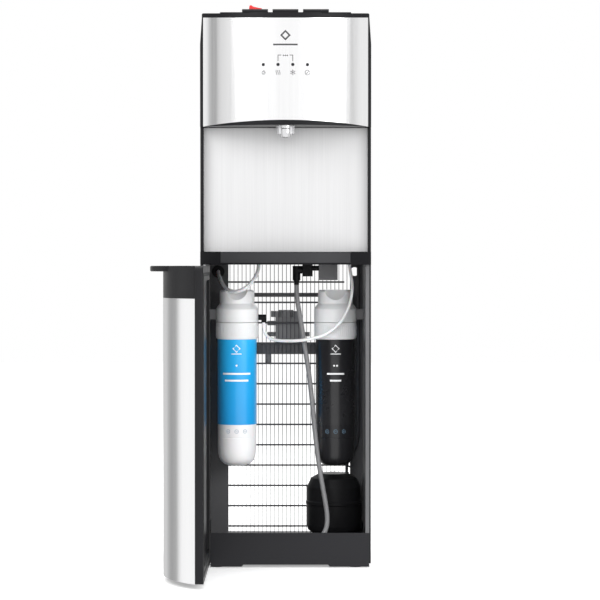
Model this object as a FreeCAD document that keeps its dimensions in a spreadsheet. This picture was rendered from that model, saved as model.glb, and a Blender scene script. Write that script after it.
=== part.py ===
import FreeCAD, Part
import math
import os
import re
import Sketcher

"""Free-standing hot, room and cold water dispenser with two filter cartridges.

Millimetres. +X right, +Y back (the front faces -Y), +Z up. The origin is on the
floor, on the cabinet's centre line. The door is drawn shut and then turned open
about its hinge line, because it stands open at rest.
"""

V = FreeCAD.Vector
doc = FreeCAD.newDocument("water_dispenser")
sheet = doc.addObject("Spreadsheet::Sheet", "dims")

SIZES = {
    # cabinet
    "half_width": 159, "sheet_metal": 3, "front_face": -145, "back_face": 150,
    "base_high": 65, "base_floor": 36, "base_wall": 4, "skirt_low": 2, "skirt_arch": 5.6,
    "shelf_low": 566, "shelf_high": 590, "deck_low": 586, "head_low": 822, "head_high": 1025,
    "sheet_top": 975, "cover_top": 1033, "cover_taper": 3.5,
    "slope_start": -150, "slope_run": 110, "slope_drop": 11,
    # bowed front shared by the head, the shelf and the shut door
    "bow_radius": 212.5, "bow_centre": -12.5, "steel_half": 153, "skin_gauge": 1.5,
    "head_wall": 4, "arch_rise": 9, "arch_radius": 1305,
    # alcove and drip tray
    "alcove_face": -118.5, "shelf_back": -100, "tray_half": 120, "tray_back": -122,
    "tray_wall": 3, "slip": 0.3,
    # taps
    "paddle_pitch": 56, "paddle_wide": 47.5, "paddle_pivot_y": -147, "paddle_pivot_z": 1029,
    "pivot_radius": 1.5, "running_gap": 0.05, "spout_y": -190, "spout_radius": 11.8,
    # lower compartment
    "liner_face": 149, "liner_gauge": 2, "liner_back": 104, "opening_left": 114,
    "opening_right": 125, "rail_front": 118, "rail_deep": 5,
    # filters
    "filter_x": 95, "filter_y": 20, "body_radius": 38, "collar_radius": 41, "neck_radius": 33.5,
    "cartridge_low": 178, "collar_low": 423, "parting_z": 455, "collar_high": 485,
    "head_top": 517,
    # condenser
    "condenser_y": 110, "tube_radius": 1.9, "tube_pitch": 40.1, "tube_low": 50.2,
    "tube_half": 134,
    "wire_radius": 0.6, "wire_low": 36.5, "wire_high": 580, "wire_pitch": 7.95,
    "wire_count": 33,
    # door, drawn shut
    "hinge_x": -150, "hinge_y": -156, "door_low": 10, "door_high": 564, "cap_low": 507,
    "liner_inner": -147, "liner_outer": -162, "round_end": 9, "door_half": 157,
    "pin_radius": 3, "lip_thick": 10, "lip_radius": 86, "lip_front": -248.5,
    # hoses
    "supply_bore": 3.5, "link_bore": 3, "suction_bore": 4.5, "line_radius": 3,
}
for row, (alias, amount) in enumerate(SIZES.items(), start=1):
    sheet.set("A%d" % row, alias)
    sheet.set("B%d" % row, str(amount))
    sheet.setAlias("B%d" % row, alias)
doc.recompute()

PLANES = {"XY": "XY_Plane", "XZ": "XZ_Plane", "YZ": "YZ_Plane"}
AXIS_TURN = {
    "Z": FreeCAD.Rotation(),
    "X": FreeCAD.Rotation(V(0, 1, 0), 90),
    "Y": FreeCAD.Rotation(V(1, 0, 0), -90),
}
parts = []


def bound(formula):
    """Return the formula with each alias written as a cell of the sheet."""
    return re.sub(r"[a-z_]+", lambda word: "dims." + word.group(0)
                  if word.group(0) in SIZES else word.group(0), str(formula))


def size(formula):
    """Return the number that a formula over the sheet's aliases gives."""
    return float(sheet.evalExpression(bound(formula)))


def bind(thing, **formulas):
    """Bind properties of an object to formulas over the sheet."""
    for name, formula in formulas.items():
        thing.setExpression(name, bound(formula))
    return thing


def put(thing, at):
    """Bind an object's place to three formulas."""
    for letter, formula in zip("xyz", at):
        thing.setExpression("Placement.Base." + letter, bound(formula))
    return thing


def node(label, thing):
    """Register a finished sub-part under the label that names its file."""
    thing.Label = label
    parts.append(thing)
    return thing


def block(name, x, y, z):
    """Make a box from (low, high) formulas along each axis."""
    thing = doc.addObject("Part::Box", name)
    bind(thing, Length="(%s) - (%s)" % (x[1], x[0]), Width="(%s) - (%s)" % (y[1], y[0]),
         Height="(%s) - (%s)" % (z[1], z[0]))
    return put(thing, (x[0], y[0], z[0]))


def rod(name, radius, length, at, axis="Z"):
    """Make a cylinder that starts at a point and runs along +X, +Y or +Z."""
    thing = doc.addObject("Part::Cylinder", name)
    bind(thing, Radius=radius, Height=length)
    thing.Placement.Rotation = AXIS_TURN[axis]
    return put(thing, at)


def fuse(name, *shapes):
    """Join several objects."""
    thing = doc.addObject("Part::MultiFuse", name)
    thing.Shapes = list(shapes)
    return thing


def common(name, *shapes):
    """Keep what several objects share."""
    thing = doc.addObject("Part::MultiCommon", name)
    thing.Shapes = list(shapes)
    return thing


def cut(name, base, *tools):
    """Take tools away from a base."""
    thing = doc.addObject("Part::Cut", name)
    thing.Base = base
    thing.Tool = tools[0] if len(tools) == 1 else fuse(name + "_tools", *tools)
    return thing


def group(name, *shapes):
    """Keep separate solids together in one sub-part."""
    thing = doc.addObject("Part::Compound", name)
    thing.Links = list(shapes)
    return thing


def outline(sketch, points):
    """Draw a closed outline whose corners are pinned to formulas."""
    spots = [V(size(x), size(y), 0) for x, y in points]
    for here, there in zip(spots, spots[1:] + spots[:1]):
        sketch.addGeometry(Part.LineSegment(here, there))
    count = len(points)
    for index, (x, y) in enumerate(points):
        sketch.addConstraint(Sketcher.Constraint("Coincident", index, 2, (index + 1) % count, 1))
        for kind, formula, axis in (("DistanceX", x, -2), ("DistanceY", y, -1)):
            if size(formula) == 0:
                sketch.addConstraint(Sketcher.Constraint("PointOnObject", index, 1, axis))
                continue
            pin = sketch.addConstraint(
                Sketcher.Constraint(kind, -1, 1, index, 1, size(formula)))
            sketch.setExpression("Constraints[%d]" % pin, bound(formula))


def sketch_in(body, name, plane, points):
    """Add a sketch with one outline to a body, on one of its own origin planes."""
    sketch = body.newObject("Sketcher::SketchObject", name)
    role = PLANES[plane]
    origin = [item for item in body.Origin.OriginFeatures if item.Role == role][0]
    sketch.AttachmentSupport = [(origin, "")]
    sketch.MapMode = "FlatFace"
    outline(sketch, points)
    return sketch


def turned(label, profile, at=(0, 0, 0), turn=None):
    """Make a body of revolution about Z from (radius, height) corners."""
    body = doc.addObject("PartDesign::Body", label)
    sketch = sketch_in(body, label + "_profile", "XZ", profile)
    spin = body.newObject("PartDesign::Revolution", label + "_turn")
    spin.Profile = sketch
    spin.ReferenceAxis = (sketch, ["V_Axis"])
    spin.Angle = 360
    if turn:
        body.Placement.Rotation = AXIS_TURN[turn]
    return put(body, at)


def padded(label, plane, points, length, midplane=False, at=(0, 0, 0)):
    """Make a body that is one outline padded straight out of its plane."""
    body = doc.addObject("PartDesign::Body", label)
    sketch = sketch_in(body, label + "_outline", plane, points)
    pad = body.newObject("PartDesign::Pad", label + "_pad")
    pad.Profile = sketch
    pad.Midplane = midplane
    bind(pad, Length=length)
    return put(body, at)


def bow(name, inset, z, half="half_width", back="front_face"):
    """Make the bowed slab that the head, shelf and door fronts share."""
    drum = rod(name + "_drum", "bow_radius - (%s)" % inset, "(%s) - (%s)" % (z[1], z[0]),
               (0, "bow_centre", z[0]))
    window = block(name + "_window", ("-(%s)" % half, half), ("-bow_radius * 2", back), z)
    return common(name, drum, window)


def bow_front(x):
    """Return the Y of the bowed front at a distance from the centre line."""
    return size("bow_centre") - math.sqrt(size("bow_radius") ** 2 - x ** 2)


# ---------------------------------------------------------------- base

def build_base():
    """Moulded base tray on four corner feet and a centre foot, with an arched skirt."""
    inner = "half_width - sheet_metal - base_wall"
    side = "half_width - sheet_metal"
    tub = block("base_tub", ("-(%s)" % side, side), ("front_face", "back_face - sheet_metal"),
                ("skirt_low", "base_high"))
    top_hollow = block("base_top_hollow", ("-(%s)" % inner, inner),
                       ("front_face + base_wall", "back_face - sheet_metal - base_wall"),
                       ("base_floor", "base_high + 1"))
    under_hollow = block("base_under_hollow", ("-(%s)" % inner, inner),
                         ("front_face + base_wall", "back_face - sheet_metal - base_wall"),
                         ("-1", "base_floor - base_wall"))
    front_arch = padded("base_front_arch", "XZ",
                        [(-84, 0), (-79, "skirt_arch"), (79, "skirt_arch"), (84, 0)],
                        400, midplane=True)
    side_arch = block("base_side_arch", ("-half_width", "half_width"), (-70, 74),
                      (0, "skirt_arch"))
    rear_notch = block("base_rear_notch", (-138, 138), (140, "back_face"),
                       ("base_floor", "base_high + 1"))
    shell = cut("base_shell", tub, top_hollow, under_hollow, front_arch, side_arch, rear_notch)
    bosses = []
    pads = []
    for number, (x, y) in enumerate([(-130, -125), (130, -125), (-130, 127), (130, 127),
                                     (0, 0)]):
        bosses.append(rod("foot_boss_%d" % number, 10, "base_floor - base_wall - 6", (x, y, 6)))
        pads.append(turned("foot_pad_%d" % number, [(0, 0), (12, 0), (14, 2), (14, 6), (0, 6)],
                           (x, y, 0)))
    node("base_pan", fuse("base_pan", shell, *bosses))
    node("rubber_feet", group("rubber_feet", *pads))


# ---------------------------------------------------------------- cabinet sheets

def build_cabinet():
    """Side sheets, compartment liners, tray shelf, deck and alcove."""
    inner = "half_width - sheet_metal"
    node("left_side_panel", block("left_side_panel", ("-half_width", "-(%s)" % inner),
                                  ("front_face", "back_face"), (8, "sheet_top")))
    node("right_side_panel", block("right_side_panel", (inner, "half_width"),
                                   ("front_face", "back_face"), (8, "sheet_top")))
    for side, sign, lip in (("left", -1, "opening_left"), ("right", 1, "opening_right")):
        corners = [
            (inner, "front_face"), (inner, "front_face + liner_gauge"),
            ("liner_face + liner_gauge", "front_face + liner_gauge"),
            ("liner_face + liner_gauge", "liner_back - liner_gauge"),
            (inner, "liner_back - liner_gauge"), (inner, "liner_back"),
            (lip, "liner_back"), (lip, "liner_back - liner_gauge"),
            ("liner_face", "liner_back - liner_gauge"), ("liner_face", "front_face"),
        ]
        points = [("%d * (%s)" % (sign, x), y) for x, y in corners]
        liner = padded(side + "_liner_sheet", "XY", points, "shelf_low - base_high",
                       at=(0, 0, "base_high"))
        flange_foot = block(side + "_flange_foot",
                            sorted(("%d * (%s)" % (sign, lip), "%d * liner_face" % sign),
                                   key=size),
                            ("liner_back - liner_gauge", "liner_back"),
                            ("base_floor", "base_high"))
        bracket = block(side + "_filter_bracket",
                        sorted(("%d * (filter_x + 30)" % sign, "%d * liner_face" % sign),
                               key=size), ("filter_y - 12", "filter_y + 12"),
                        ("parting_z + 5", "collar_high - 5"))
        seat = rod(side + "_filter_seat", "collar_radius", 40,
                   ("%d * filter_x" % sign, "filter_y", "parting_z - 5"))
        flange_hole = rod(side + "_flange_hole", 8.5, 20, (sign * 134, "liner_back - 12", 552),
                          "Y")
        wall_hole = rod(side + "_wall_hole", 6, 40, (sign * 152 - 20, -125, 552), "X")
        node(side + "_liner", cut(side + "_liner",
                                    fuse(side + "_liner_sum", liner, flange_foot, bracket),
                                    flange_hole, wall_hole, seat))

    front = bow("shelf_front", 0, ("shelf_low", "shelf_high"))
    rear = block("shelf_rear", ("-(%s)" % inner, inner), ("front_face", "shelf_back"),
                 ("shelf_low", "shelf_high"))
    bay = block("tray_bay", ("-tray_half - 0.5", "tray_half + 0.5"),
                ("-260", "tray_back + 0.5"), ("shelf_low + 3", "shelf_high + 1"))
    pin_seat = rod("shelf_pin_seat", "pin_radius", 10, ("hinge_x", "hinge_y", "shelf_low - 1"))
    node("tray_shelf", cut("tray_shelf", fuse("shelf_slab", front, rear), bay, pin_seat))

    deck = block("deck_top", ("-(%s)" % inner, inner), ("shelf_back", "back_face - sheet_metal"),
                 ("deck_low", "deck_low + sheet_metal"))
    skirts = [block("deck_skirt_%d" % sign,
                    sorted(("%d * (%s)" % (sign, inner), "%d * (%s - 3)" % (sign, inner)),
                           key=size),
                    ("shelf_back", "back_face - sheet_metal"), ("shelf_low", "deck_low"))
              for sign in (-1, 1)]
    node("mid_deck", fuse("mid_deck", deck, *skirts))

    node("alcove_back_panel", block("alcove_back_panel", ("-steel_half", "steel_half"),
                                    ("alcove_face", "alcove_face + skin_gauge"),
                                    ("shelf_high", "head_low")))
    cheeks = [block("cheek_%d" % sign,
                    sorted(("%d * steel_half" % sign, "%d * (%s)" % (sign, inner)), key=size),
                    ("front_face", "shelf_back"), ("shelf_high", "head_low"))
              for sign in (-1, 1)]
    node("alcove_cheeks", group("alcove_cheeks", *cheeks))


def build_drip_tray():
    """Removable bowed drip tray and the slotted grille that drops into it."""
    low = "shelf_low + 3 + slip"
    outer = bow("tray_outer", 0, (low, "shelf_high - 1"), "tray_half", "tray_back")
    hollow = bow("tray_hollow", "tray_wall", ("%s + 3" % low, "shelf_high"),
                 "tray_half - tray_wall", "tray_back - tray_wall")
    node("drip_tray", cut("drip_tray", outer, hollow))
    plate = bow("grille_plate", "tray_wall + slip", ("shelf_high - 5", "shelf_high - 2"),
                "tray_half - tray_wall - slip", "tray_back - tray_wall - slip")
    ledges = [block("grille_ledge_%d" % sign, (sign * 113 - 2, sign * 113 + 2), (-170, -130),
                    ("%s + 3" % low, "shelf_high - 5")) for sign in (-1, 1)]
    slots = [block("grille_slot_%d" % index, (index * 8.5 - 2.2, index * 8.5 + 2.2),
                   ("%.1f" % (bow_front(index * 8.5) + 12), -133),
                   ("shelf_high - 6", "shelf_high"))
             for index in range(-12, 13)]
    node("drip_grille", fuse("drip_grille", cut("grille_slotted", plate, *slots), *ledges))


# ---------------------------------------------------------------- head

LENS_X = (-40.5, -13.5, 13.5, 40.5)
PADDLES = (("hot_paddle", -1), ("room_paddle", 0), ("cold_paddle", 1))


def build_head():
    """Bowed head shell with its steel face, indicator lenses, board and top cover."""
    arch = rod("head_arch", "arch_radius", 300, (0, -280, "head_low + arch_rise - arch_radius"),
               "Y")
    face_z = ("head_low", "head_high")
    ring = cut("steel_ring", bow("steel_outer", 0, face_z, "steel_half"),
               bow("steel_inner", "skin_gauge", ("head_low - 1", "head_high + 1")))
    steel = cut("steel_face", ring, arch, slope_tool("steel_slope", "head_high", 60))
    lenses = [rod("lens_%d" % number, 2, 7, (x, "%.2f" % (bow_front(x) - 0.5), 932), "Y")
              for number, x in enumerate(LENS_X)]
    lens_set = group("indicator_lenses", *lenses)
    node("head_steel_panel", cut("head_steel_panel", steel, *lenses))
    node("indicator_lenses", lens_set)

    taper = [padded("head_taper_%d" % sign, "XZ",
                    [(sign * 159, 975), (sign * 170, 975), (sign * 170, 1040),
                     (sign * (159 - 3.5 * 65 / 50), 1040)], 900, midplane=True)
             for sign in (-1, 1)]
    outer = bow("shell_outer", 0, face_z)
    hollow = bow("shell_hollow", "head_wall + skin_gauge",
                 ("head_low + head_wall", "head_high + 1"), "half_width - 6")
    rear = block("shell_rear_gap", (-153, 153), (-175, -140), ("head_low + head_wall", 1030))
    throat = rod("spout_throat", "spout_radius", 20, (0, "spout_y", "head_low - 5"))
    node("head_shell", cut("head_shell", outer, steel, hollow, rear, throat, *lenses, *taper,
                           slope_tool("shell_slope", "head_high", 60)))

    skirt = doc.addObject("Part::Wedge", "cover_skirt_outer")
    shape_wedge(skirt, "half_width", "cover_taper", "sheet_top", "head_high",
                "front_face", "back_face")
    cavity = doc.addObject("Part::Wedge", "cover_skirt_inner")
    shape_wedge(cavity, "half_width - sheet_metal", "cover_taper", "sheet_top - 0.01",
                "head_high + 3", "front_face - 1", "back_face - sheet_metal")
    slab_half = "half_width - cover_taper"
    slab_z = ("head_high - slope_drop", "cover_top")
    plan = fuse("cover_plan", bow("cover_bow", 0, slab_z, slab_half),
                block("cover_flat", ("-(%s)" % slab_half, slab_half), ("front_face", "back_face"),
                      slab_z))
    slab = common("cover_slab", plan, slope_tool("cover_slope", "head_high",
                                                 "cover_top - head_high"))
    corners = outer_rim(slab, size("cover_top"))
    eased = doc.addObject("Part::Fillet", "cover_eased")
    eased.Base = slab
    eased.Edges = [(number, 3.0, 3.0) for number in corners]
    pad_z = ("cover_top - 12", "cover_top + 2")
    pad = common("cover_pad", bow("cover_pad_bow", 7, pad_z, 121, -128),
                 slope_tool("cover_pad_slope", "cover_top - 1", 3))
    wells = [block("paddle_well_%d" % place,
                   ("%d * paddle_pitch - paddle_wide / 2 - 0.6" % place,
                    "%d * paddle_pitch + paddle_wide / 2 + 0.6" % place),
                   (-207, -141), (1010, 1050)) for place in (-1, 0, 1)]
    seat = rod("paddle_rod_seat", "pivot_radius", 170, (-85, "paddle_pivot_y",
                                                        "paddle_pivot_z"), "X")
    cover = cut("top_cover", fuse("cover_solid", skirt, eased, pad), cavity, *wells, seat)
    node("top_cover", cover)
    node("paddle_rod", rod("paddle_rod", "pivot_radius", 170,
                           (-85, "paddle_pivot_y", "paddle_pivot_z"), "X"))
    switches = []
    for place in (-1, 0, 1):
        case = block("switch_case_%d" % place, (place * 56 - 10, place * 56 + 10), (-190, -182),
                     (1003, 1018))
        plunger = rod("switch_plunger_%d" % place, 2, 4, (place * 56, -186, 1018))
        switches.append(fuse("switch_%d" % place, case, plunger))
    rail = block("switch_rail", (-75, 75), (-190, -182), (1000, 1003))
    board = block("display_board", (-62, 62), (-204, -202.4), (908, 956))
    node("control_boards", group("control_boards", board, fuse("paddle_switches", rail,
                                                               *switches)))


def shape_wedge(wedge, half, lean, low, high, front, back):
    """Size a wedge, long axis turned up, whose sides lean in towards the top."""
    bind(wedge, Xmin="-(%s)" % half, Xmax=half, X2min="-(%s) + %s" % (half, lean),
         X2max="(%s) - %s" % (half, lean), Ymin=low, Ymax=high,
         Zmin="-(%s)" % back, Zmax="-(%s)" % front, Z2min="-(%s)" % back,
         Z2max="-(%s)" % front)
    wedge.Placement.Rotation = FreeCAD.Rotation(V(1, 0, 0), 90)


def slope_tool(name, low, deep):
    """Make a layer that is level at the back and slopes down over the bowed front."""
    end = "slope_start - slope_run"
    drop = "(%s) - slope_drop" % low
    corners = [(end, drop), ("slope_start", low), (170, low), (170, "(%s) + (%s)" % (low, deep)),
               ("slope_start", "(%s) + (%s)" % (low, deep)), (end, "(%s) + (%s)" % (drop, deep))]
    return padded(name, "YZ", corners, 400, midplane=True)


def outer_rim(thing, height):
    """List the numbers of an object's edges that lie flat at a height."""
    doc.recompute()
    flat = []
    for number, edge in enumerate(thing.Shape.Edges, start=1):
        box = edge.BoundBox
        if abs(box.ZMin - height) < 0.01 and abs(box.ZMax - height) < 0.01:
            flat.append(number)
    return flat


def build_taps():
    """Three sprung paddles on one rod, the child lock and the spout."""
    side = [(-204, 1026), (-204, 1033), (-201, 1035.5), (-146, 1035.5), (-143, 1033),
            (-143, 1026), (-151, 1026), (-153, 1028.5), (-170, 1029.5), (-196, 1029)]
    for label, place in PADDLES:
        plate = padded(label + "_plate", "YZ", side, "paddle_wide", midplane=True,
                       at=("%d * paddle_pitch" % place, 0, 0))
        bore = rod(label + "_bore", "pivot_radius + running_gap", 60,
                   ("%d * paddle_pitch - 30" % place, "paddle_pivot_y", "paddle_pivot_z"), "X")
        tools = [bore]
        if label == "hot_paddle":
            tools.append(block("lock_slot", (-60.3, -49.7), (-193, -171), (1020, 1045)))
        node(label, cut(label, plate, *tools))
    wedge = padded("lock_wedge", "XZ",
                   [(-67, 1035.8), (-66.4, 1041), (-65, 1043), (-62.5, 1042.6),
                    (-59, 1040.4), (-51, 1038.4), (-43.6, 1037.2), (-43, 1035.8)],
                   26, midplane=True, at=(0, -186, 0))
    tongue = block("lock_tongue", (-60, -50), (-192.7, -177), (1030, 1035.8))
    node("hot_safety_latch", fuse("hot_safety_latch", wedge, tongue))

    nozzle = turned("spout_nozzle", [(6, 800), (9.6, 800), (11.2, 802), ("spout_radius", 806),
                                     ("spout_radius", "head_low + head_wall"), (16, 826),
                                     (16, 829), (6, 829)], (0, "spout_y", 0))
    node("spout_nozzle", nozzle)
    wings = padded("spout_wings", "XY",
                   [(-16.5, -184), (-13, -178), (13, -178), (16.5, -184), (16.5, -192),
                    (12.5, -199), (-12.5, -199), (-16.5, -192)], 15, at=(0, 0, 807))
    hole = rod("spout_wing_hole", "spout_radius", 30, (0, "spout_y", 800))
    node("spout_housing", cut("spout_housing", wings, hole))


# ---------------------------------------------------------------- water and cooling

def build_tanks():
    """Cold tank in its foam with an evaporator coil, and the hot tank with its heater."""
    tank = turned("cold_tank_vessel", [(0, 612), (50, 612), (70, 624), (70, 786), (50, 798),
                                       (0, 798)], (-56, -8, 0))
    rings = []
    for turn in range(7):
        ring = doc.addObject("Part::Torus", "evaporator_turn_%d" % turn)
        bind(ring, Radius1=73.6, Radius2=3.4)
        put(ring, (-56, -8, 650 + turn * 16))
        rings.append(ring)
    node("cold_tank", group("cold_tank", tank, *rings))
    foam = block("foam_block", (-150, 38), (-102, 86), (600, 810))
    core = rod("foam_core", 77.4, 198, (-56, -8, 612))
    node("tank_insulation", cut("tank_insulation", foam, core))
    vessel = turned("hot_tank_vessel", [(0, 600), (30, 600), (44, 612), (44, 752), (30, 764),
                                        (0, 764)], (96, -20, 0))
    band = turned("heater_band", [(44.1, 640), (48, 640), (48, 684), (44.1, 684)], (96, -20, 0))
    node("hot_tank", group("hot_tank", vessel, band))


def build_cooling():
    """Compressor, refrigerant line, and the wire-on-tube condenser at the back."""
    can = turned("compressor_can", [(0, 44), (40, 44), (50, 52), (52, 60), (52, 100),
                                    (54, 102), (54, 107), (52, 109), (52, 135), (44, 152),
                                    (28, 161), (0, 164)], (92, 40, 0))
    cradle = block("compressor_cradle", (36, 148), (-14, 94), (36, 39))
    stands = [rod("compressor_stand_%d" % number, 9, 5, (x, y, 39))
              for number, (x, y) in enumerate([(62, 10), (122, 10), (62, 70), (122, 70)])]
    stub = rod("compressor_stub", "line_radius + 1.5", 20, (118, 72, 140))
    node("compressor", group("compressor", fuse("compressor_shell", can, stub),
                             fuse("compressor_feet", cradle, *stands)))

    runs = 13
    tubes = [rod("condenser_run_%d" % run, "tube_radius", "2 * tube_half",
                 ("-tube_half", "condenser_y", "tube_low + %d * tube_pitch" % run), "X")
             for run in range(runs)]
    for link in range(runs - 1):
        side = 1 if link % 2 == 0 else -1
        tubes.append(rod("condenser_riser_%d" % link, "tube_radius", "tube_pitch",
                         ("%d * tube_half" % side, "condenser_y",
                          "tube_low + %d * tube_pitch" % link)))
    node("condenser_tube", fuse("condenser_tube", *tubes))
    wires = [rod("condenser_wire_%d" % index, "wire_radius", "wire_high - wire_low",
                 ("(%d - (wire_count - 1) / 2) * wire_pitch" % index,
                  "condenser_y + tube_radius + wire_radius", "wire_low"))
             for index in range(int(size("wire_count")))]
    node("condenser_wires", group("condenser_wires", *wires))


def build_compartment():
    """Rails, valve block, pump, elbow and the small hose fittings."""
    back = "rail_front + rail_deep"
    span = ("-half_width + sheet_metal", "half_width - sheet_metal")
    node("rear_rails", group("rear_rails",
                               block("upper_rail", span, ("rail_front", back), (502, 510)),
                               block("lower_rail", span, ("rail_front", back), (389, 409))))
    core = block("valve_core", (-22, 30), (back, 145), (409, 462))
    cap = rod("valve_cap", 15, 14, (-1, 134, 462))
    foot = block("valve_foot", (-24, 24), (back, 145), (398, 409))
    coils = [rod("valve_coil_%d" % number, 10, 12, (x, 134, 462))
             for number, x in enumerate((-21, 20))]
    ports = [rod("valve_port_%d" % number, 4.5, 16, (x, 134, z), "X")
             for number, (x, z) in enumerate(((-38, 428), (30, 428), (-38, 450)))]
    drop = block("valve_bracket", (-42, -30), (back, 130), (370, 409))
    arm = block("valve_bracket_arm", (-30, -22), (back, 130), (398, 409))
    node("valve_block", fuse("valve_block", core, cap, foot, drop, arm, *coils, *ports))

    node("water_pump", block("water_pump", (63, 99), (-12, 44), (536, "deck_low")))
    pipe = rod("elbow_neck", 5, 12, (51, 10, 559), "X")
    clamp = block("elbow_clamp", (32, 51), (-1, 21), (543, 571))
    arm = rod("elbow_arm", 7.5, 16, (16, 10, 556), "X")
    down = turned("elbow_down", [(0, 527), (5, 527), (5, 534), (7.5, 536), (7.5, 563.5),
                                 (0, 563.5)], (20, 10, 0))
    node("pump_elbow", fuse("pump_elbow", pipe, clamp, arm, down))

    grommet = turned("flange_grommet", [("supply_bore + 0.01", 0), (8, 0), (8, 3), (12, 3),
                                        (12, 6), ("supply_bore + 0.01", 6)],
                     (-134, "liner_back + 1", 552))
    grommet.Placement.Rotation = FreeCAD.Rotation(V(1, 0, 0), 90)
    studs = [rod("deck_fitting_%d" % number, 7, 8, (x, y, "deck_low - 8"))
             for number, (x, y) in enumerate(((-52, -21), (121, -28)))]
    tee = fuse("collar_elbow", rod("collar_arm", 5.5, 15, (-53.9, "filter_y", 464), "X"),
               rod("collar_drop", 4.6, 10, (-43.5, "filter_y", 454)))
    node("hose_fittings", group("hose_fittings", grommet, *studs, tee))


# ---------------------------------------------------------------- filters

def build_filters():
    """Two fixed filter heads and the two cartridges that twist off them."""
    for side, sign in (("left", -1), ("right", 1)):
        at = ("%d * filter_x" % sign, "filter_y", 0)
        head = turned("filter_head_%s_turning" % side,
                      [(0, "parting_z"), ("collar_radius", "parting_z"),
                       ("collar_radius", 480), (38, "collar_high"), ("neck_radius", 491),
                       ("neck_radius", 514), (31, "head_top"), (0, "head_top")], at)
        scoop = doc.addObject("Part::Sphere", "filter_scoop_" + side)
        bind(scoop, Radius=44)
        put(scoop, ("%d * filter_x" % sign, "filter_y - 60", 533))
        socket = rod("filter_socket_%s" % side, 30.4, 12.4, at[:2] + ("parting_z - 0.1",))
        node("filter_head_" + side,
             cut("filter_head_" + side, head, socket, scoop))
        node("filter_cartridge_" + side,
             turned("filter_cartridge_" + side,
                    [(0, "cartridge_low"), (22, "cartridge_low + 1"), (31, "cartridge_low + 6"),
                     (36, "cartridge_low + 16"), ("body_radius", "cartridge_low + 28"),
                     ("body_radius", "collar_low"), ("collar_radius", "collar_low + 3"),
                     ("collar_radius", "parting_z - 0.6"), (30, "parting_z - 0.6"),
                     (30, "parting_z + 11"), (0, "parting_z + 11")], at))


# ---------------------------------------------------------------- rear

ROCKERS = (("hot_rocker", 70), ("cold_rocker", 98), ("light_rocker", 126))


def build_rear():
    """Rear sheet with its switches, drain, inlet and cable gland."""
    sheet_z = ("shelf_low", "sheet_top")
    inner = "half_width - sheet_metal"
    plate = block("rear_sheet", ("-(%s)" % inner, inner),
                  ("back_face - sheet_metal", "back_face"), sheet_z)
    holes = [rod("drain_hole", 9, 40, (-96, 125, 640), "Y"),
             rod("inlet_hole", 8, 40, (-96, 125, 700), "Y"),
             rod("gland_hole", 9, 40, (104, 125, 640), "Y")]
    windows = [block(label + "_window", (x - 10, x + 10), (140, 160), (895, 925))
               for label, x in ROCKERS]
    louvres = [block("louvre_%d" % row, (-70, 60), (140, 160),
                     ("%d" % (760 + row * 12), "%d" % (764 + row * 12))) for row in range(8)]
    node("rear_panel", cut("rear_panel", plate, *holes, *windows, *louvres))
    frames = []
    for label, x in ROCKERS:
        frame = cut(label + "_frame",
                    fuse(label + "_frame_solid",
                         block(label + "_flange", (x - 12.5, x + 12.5), (150, 151.5), (892, 928)),
                         block(label + "_barrel", (x - 10, x + 10), (132, 150), (895, 925))),
                    block(label + "_well", (x - 8, x + 8), (134, 160), (898, 922)))
        frames.append(frame)
        side = [(146.5, 899), (152, 899.4), (149.6, 910), (152, 920.6), (146.5, 921),
                (141, 911.5), (141, 908.5)]
        node(label, padded(label, "YZ", side, 15.4, midplane=True, at=(x, 0, 0)))
    node("rocker_frames", group("rocker_frames", *frames))

    spigot = turned("drain_spigot", [(5, 0), (9, 0), (9, 20), (13, 20), (13, 23), (8, 23),
                                     (8, 34), (5, 34)], (-96, 130, 640))
    spigot.Placement.Rotation = AXIS_TURN["Y"]
    node("drain_spigot", spigot)
    cap = turned("drain_cap", [(8.4, 24), (13, 24), (13, 36), (11, 38), (0, 38), (0, 34.6),
                               (8.4, 34.6)], (-96, 130, 640))
    cap.Placement.Rotation = AXIS_TURN["Y"]
    node("drain_cap", cap)
    inlet = turned("water_inlet", [(3.2, 4), (8, 4), (8, 20), (11, 20), (11, 23), (9, 26),
                                   (9, 30), (3.2, 30)], (-96, 130, 700))
    inlet.Placement.Rotation = AXIS_TURN["Y"]
    node("water_inlet", inlet)
    gland = turned("power_gland", [(3.6, 4), (9, 4), (9, 20), (12, 20), (12, 23), (8, 26),
                                   (5.5, 34), (3.6, 34)], (104, 130, 640))
    gland.Placement.Rotation = AXIS_TURN["Y"]
    node("power_gland", gland)
    screws = []
    for number, (x, z) in enumerate([(side * 148, level) for side in (-1, 1)
                                     for level in (590, 700, 830, 955)]):
        screw = turned("rear_screw_%d" % number, [(0, 0), (4, 0), (4, 0.8), (2.4, 2.2), (0, 2.2)],
                       (x, "back_face", z))
        screw.Placement.Rotation = AXIS_TURN["Y"]
        screws.append(screw)
    node("rear_screws", group("rear_screws", *screws))


# ---------------------------------------------------------------- door

def open_door(thing):
    """Turn a piece that is drawn on the shut door a quarter turn open."""
    pivot = V(size("hinge_x"), size("hinge_y"), 0)
    quarter = FreeCAD.Placement(V(0, 0, 0), FreeCAD.Rotation(V(0, 0, 1), -90), pivot)
    wrap = doc.addObject("Part::Compound", thing.Name + "_open")
    wrap.Links = [thing]
    wrap.Placement = quarter
    return wrap


def free_edges(leaf, far):
    """List the free end's edges with their radii: soft upright ones, rounder level ones."""
    doc.recompute()
    chosen = []
    for number, edge in enumerate(leaf.Shape.Edges, start=1):
        box = edge.BoundBox
        if box.XMin < far - 0.01:
            continue
        radius = 4.0 if box.ZLength > 1 else 9.0
        chosen.append((number, radius, radius))
    return chosen


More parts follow.
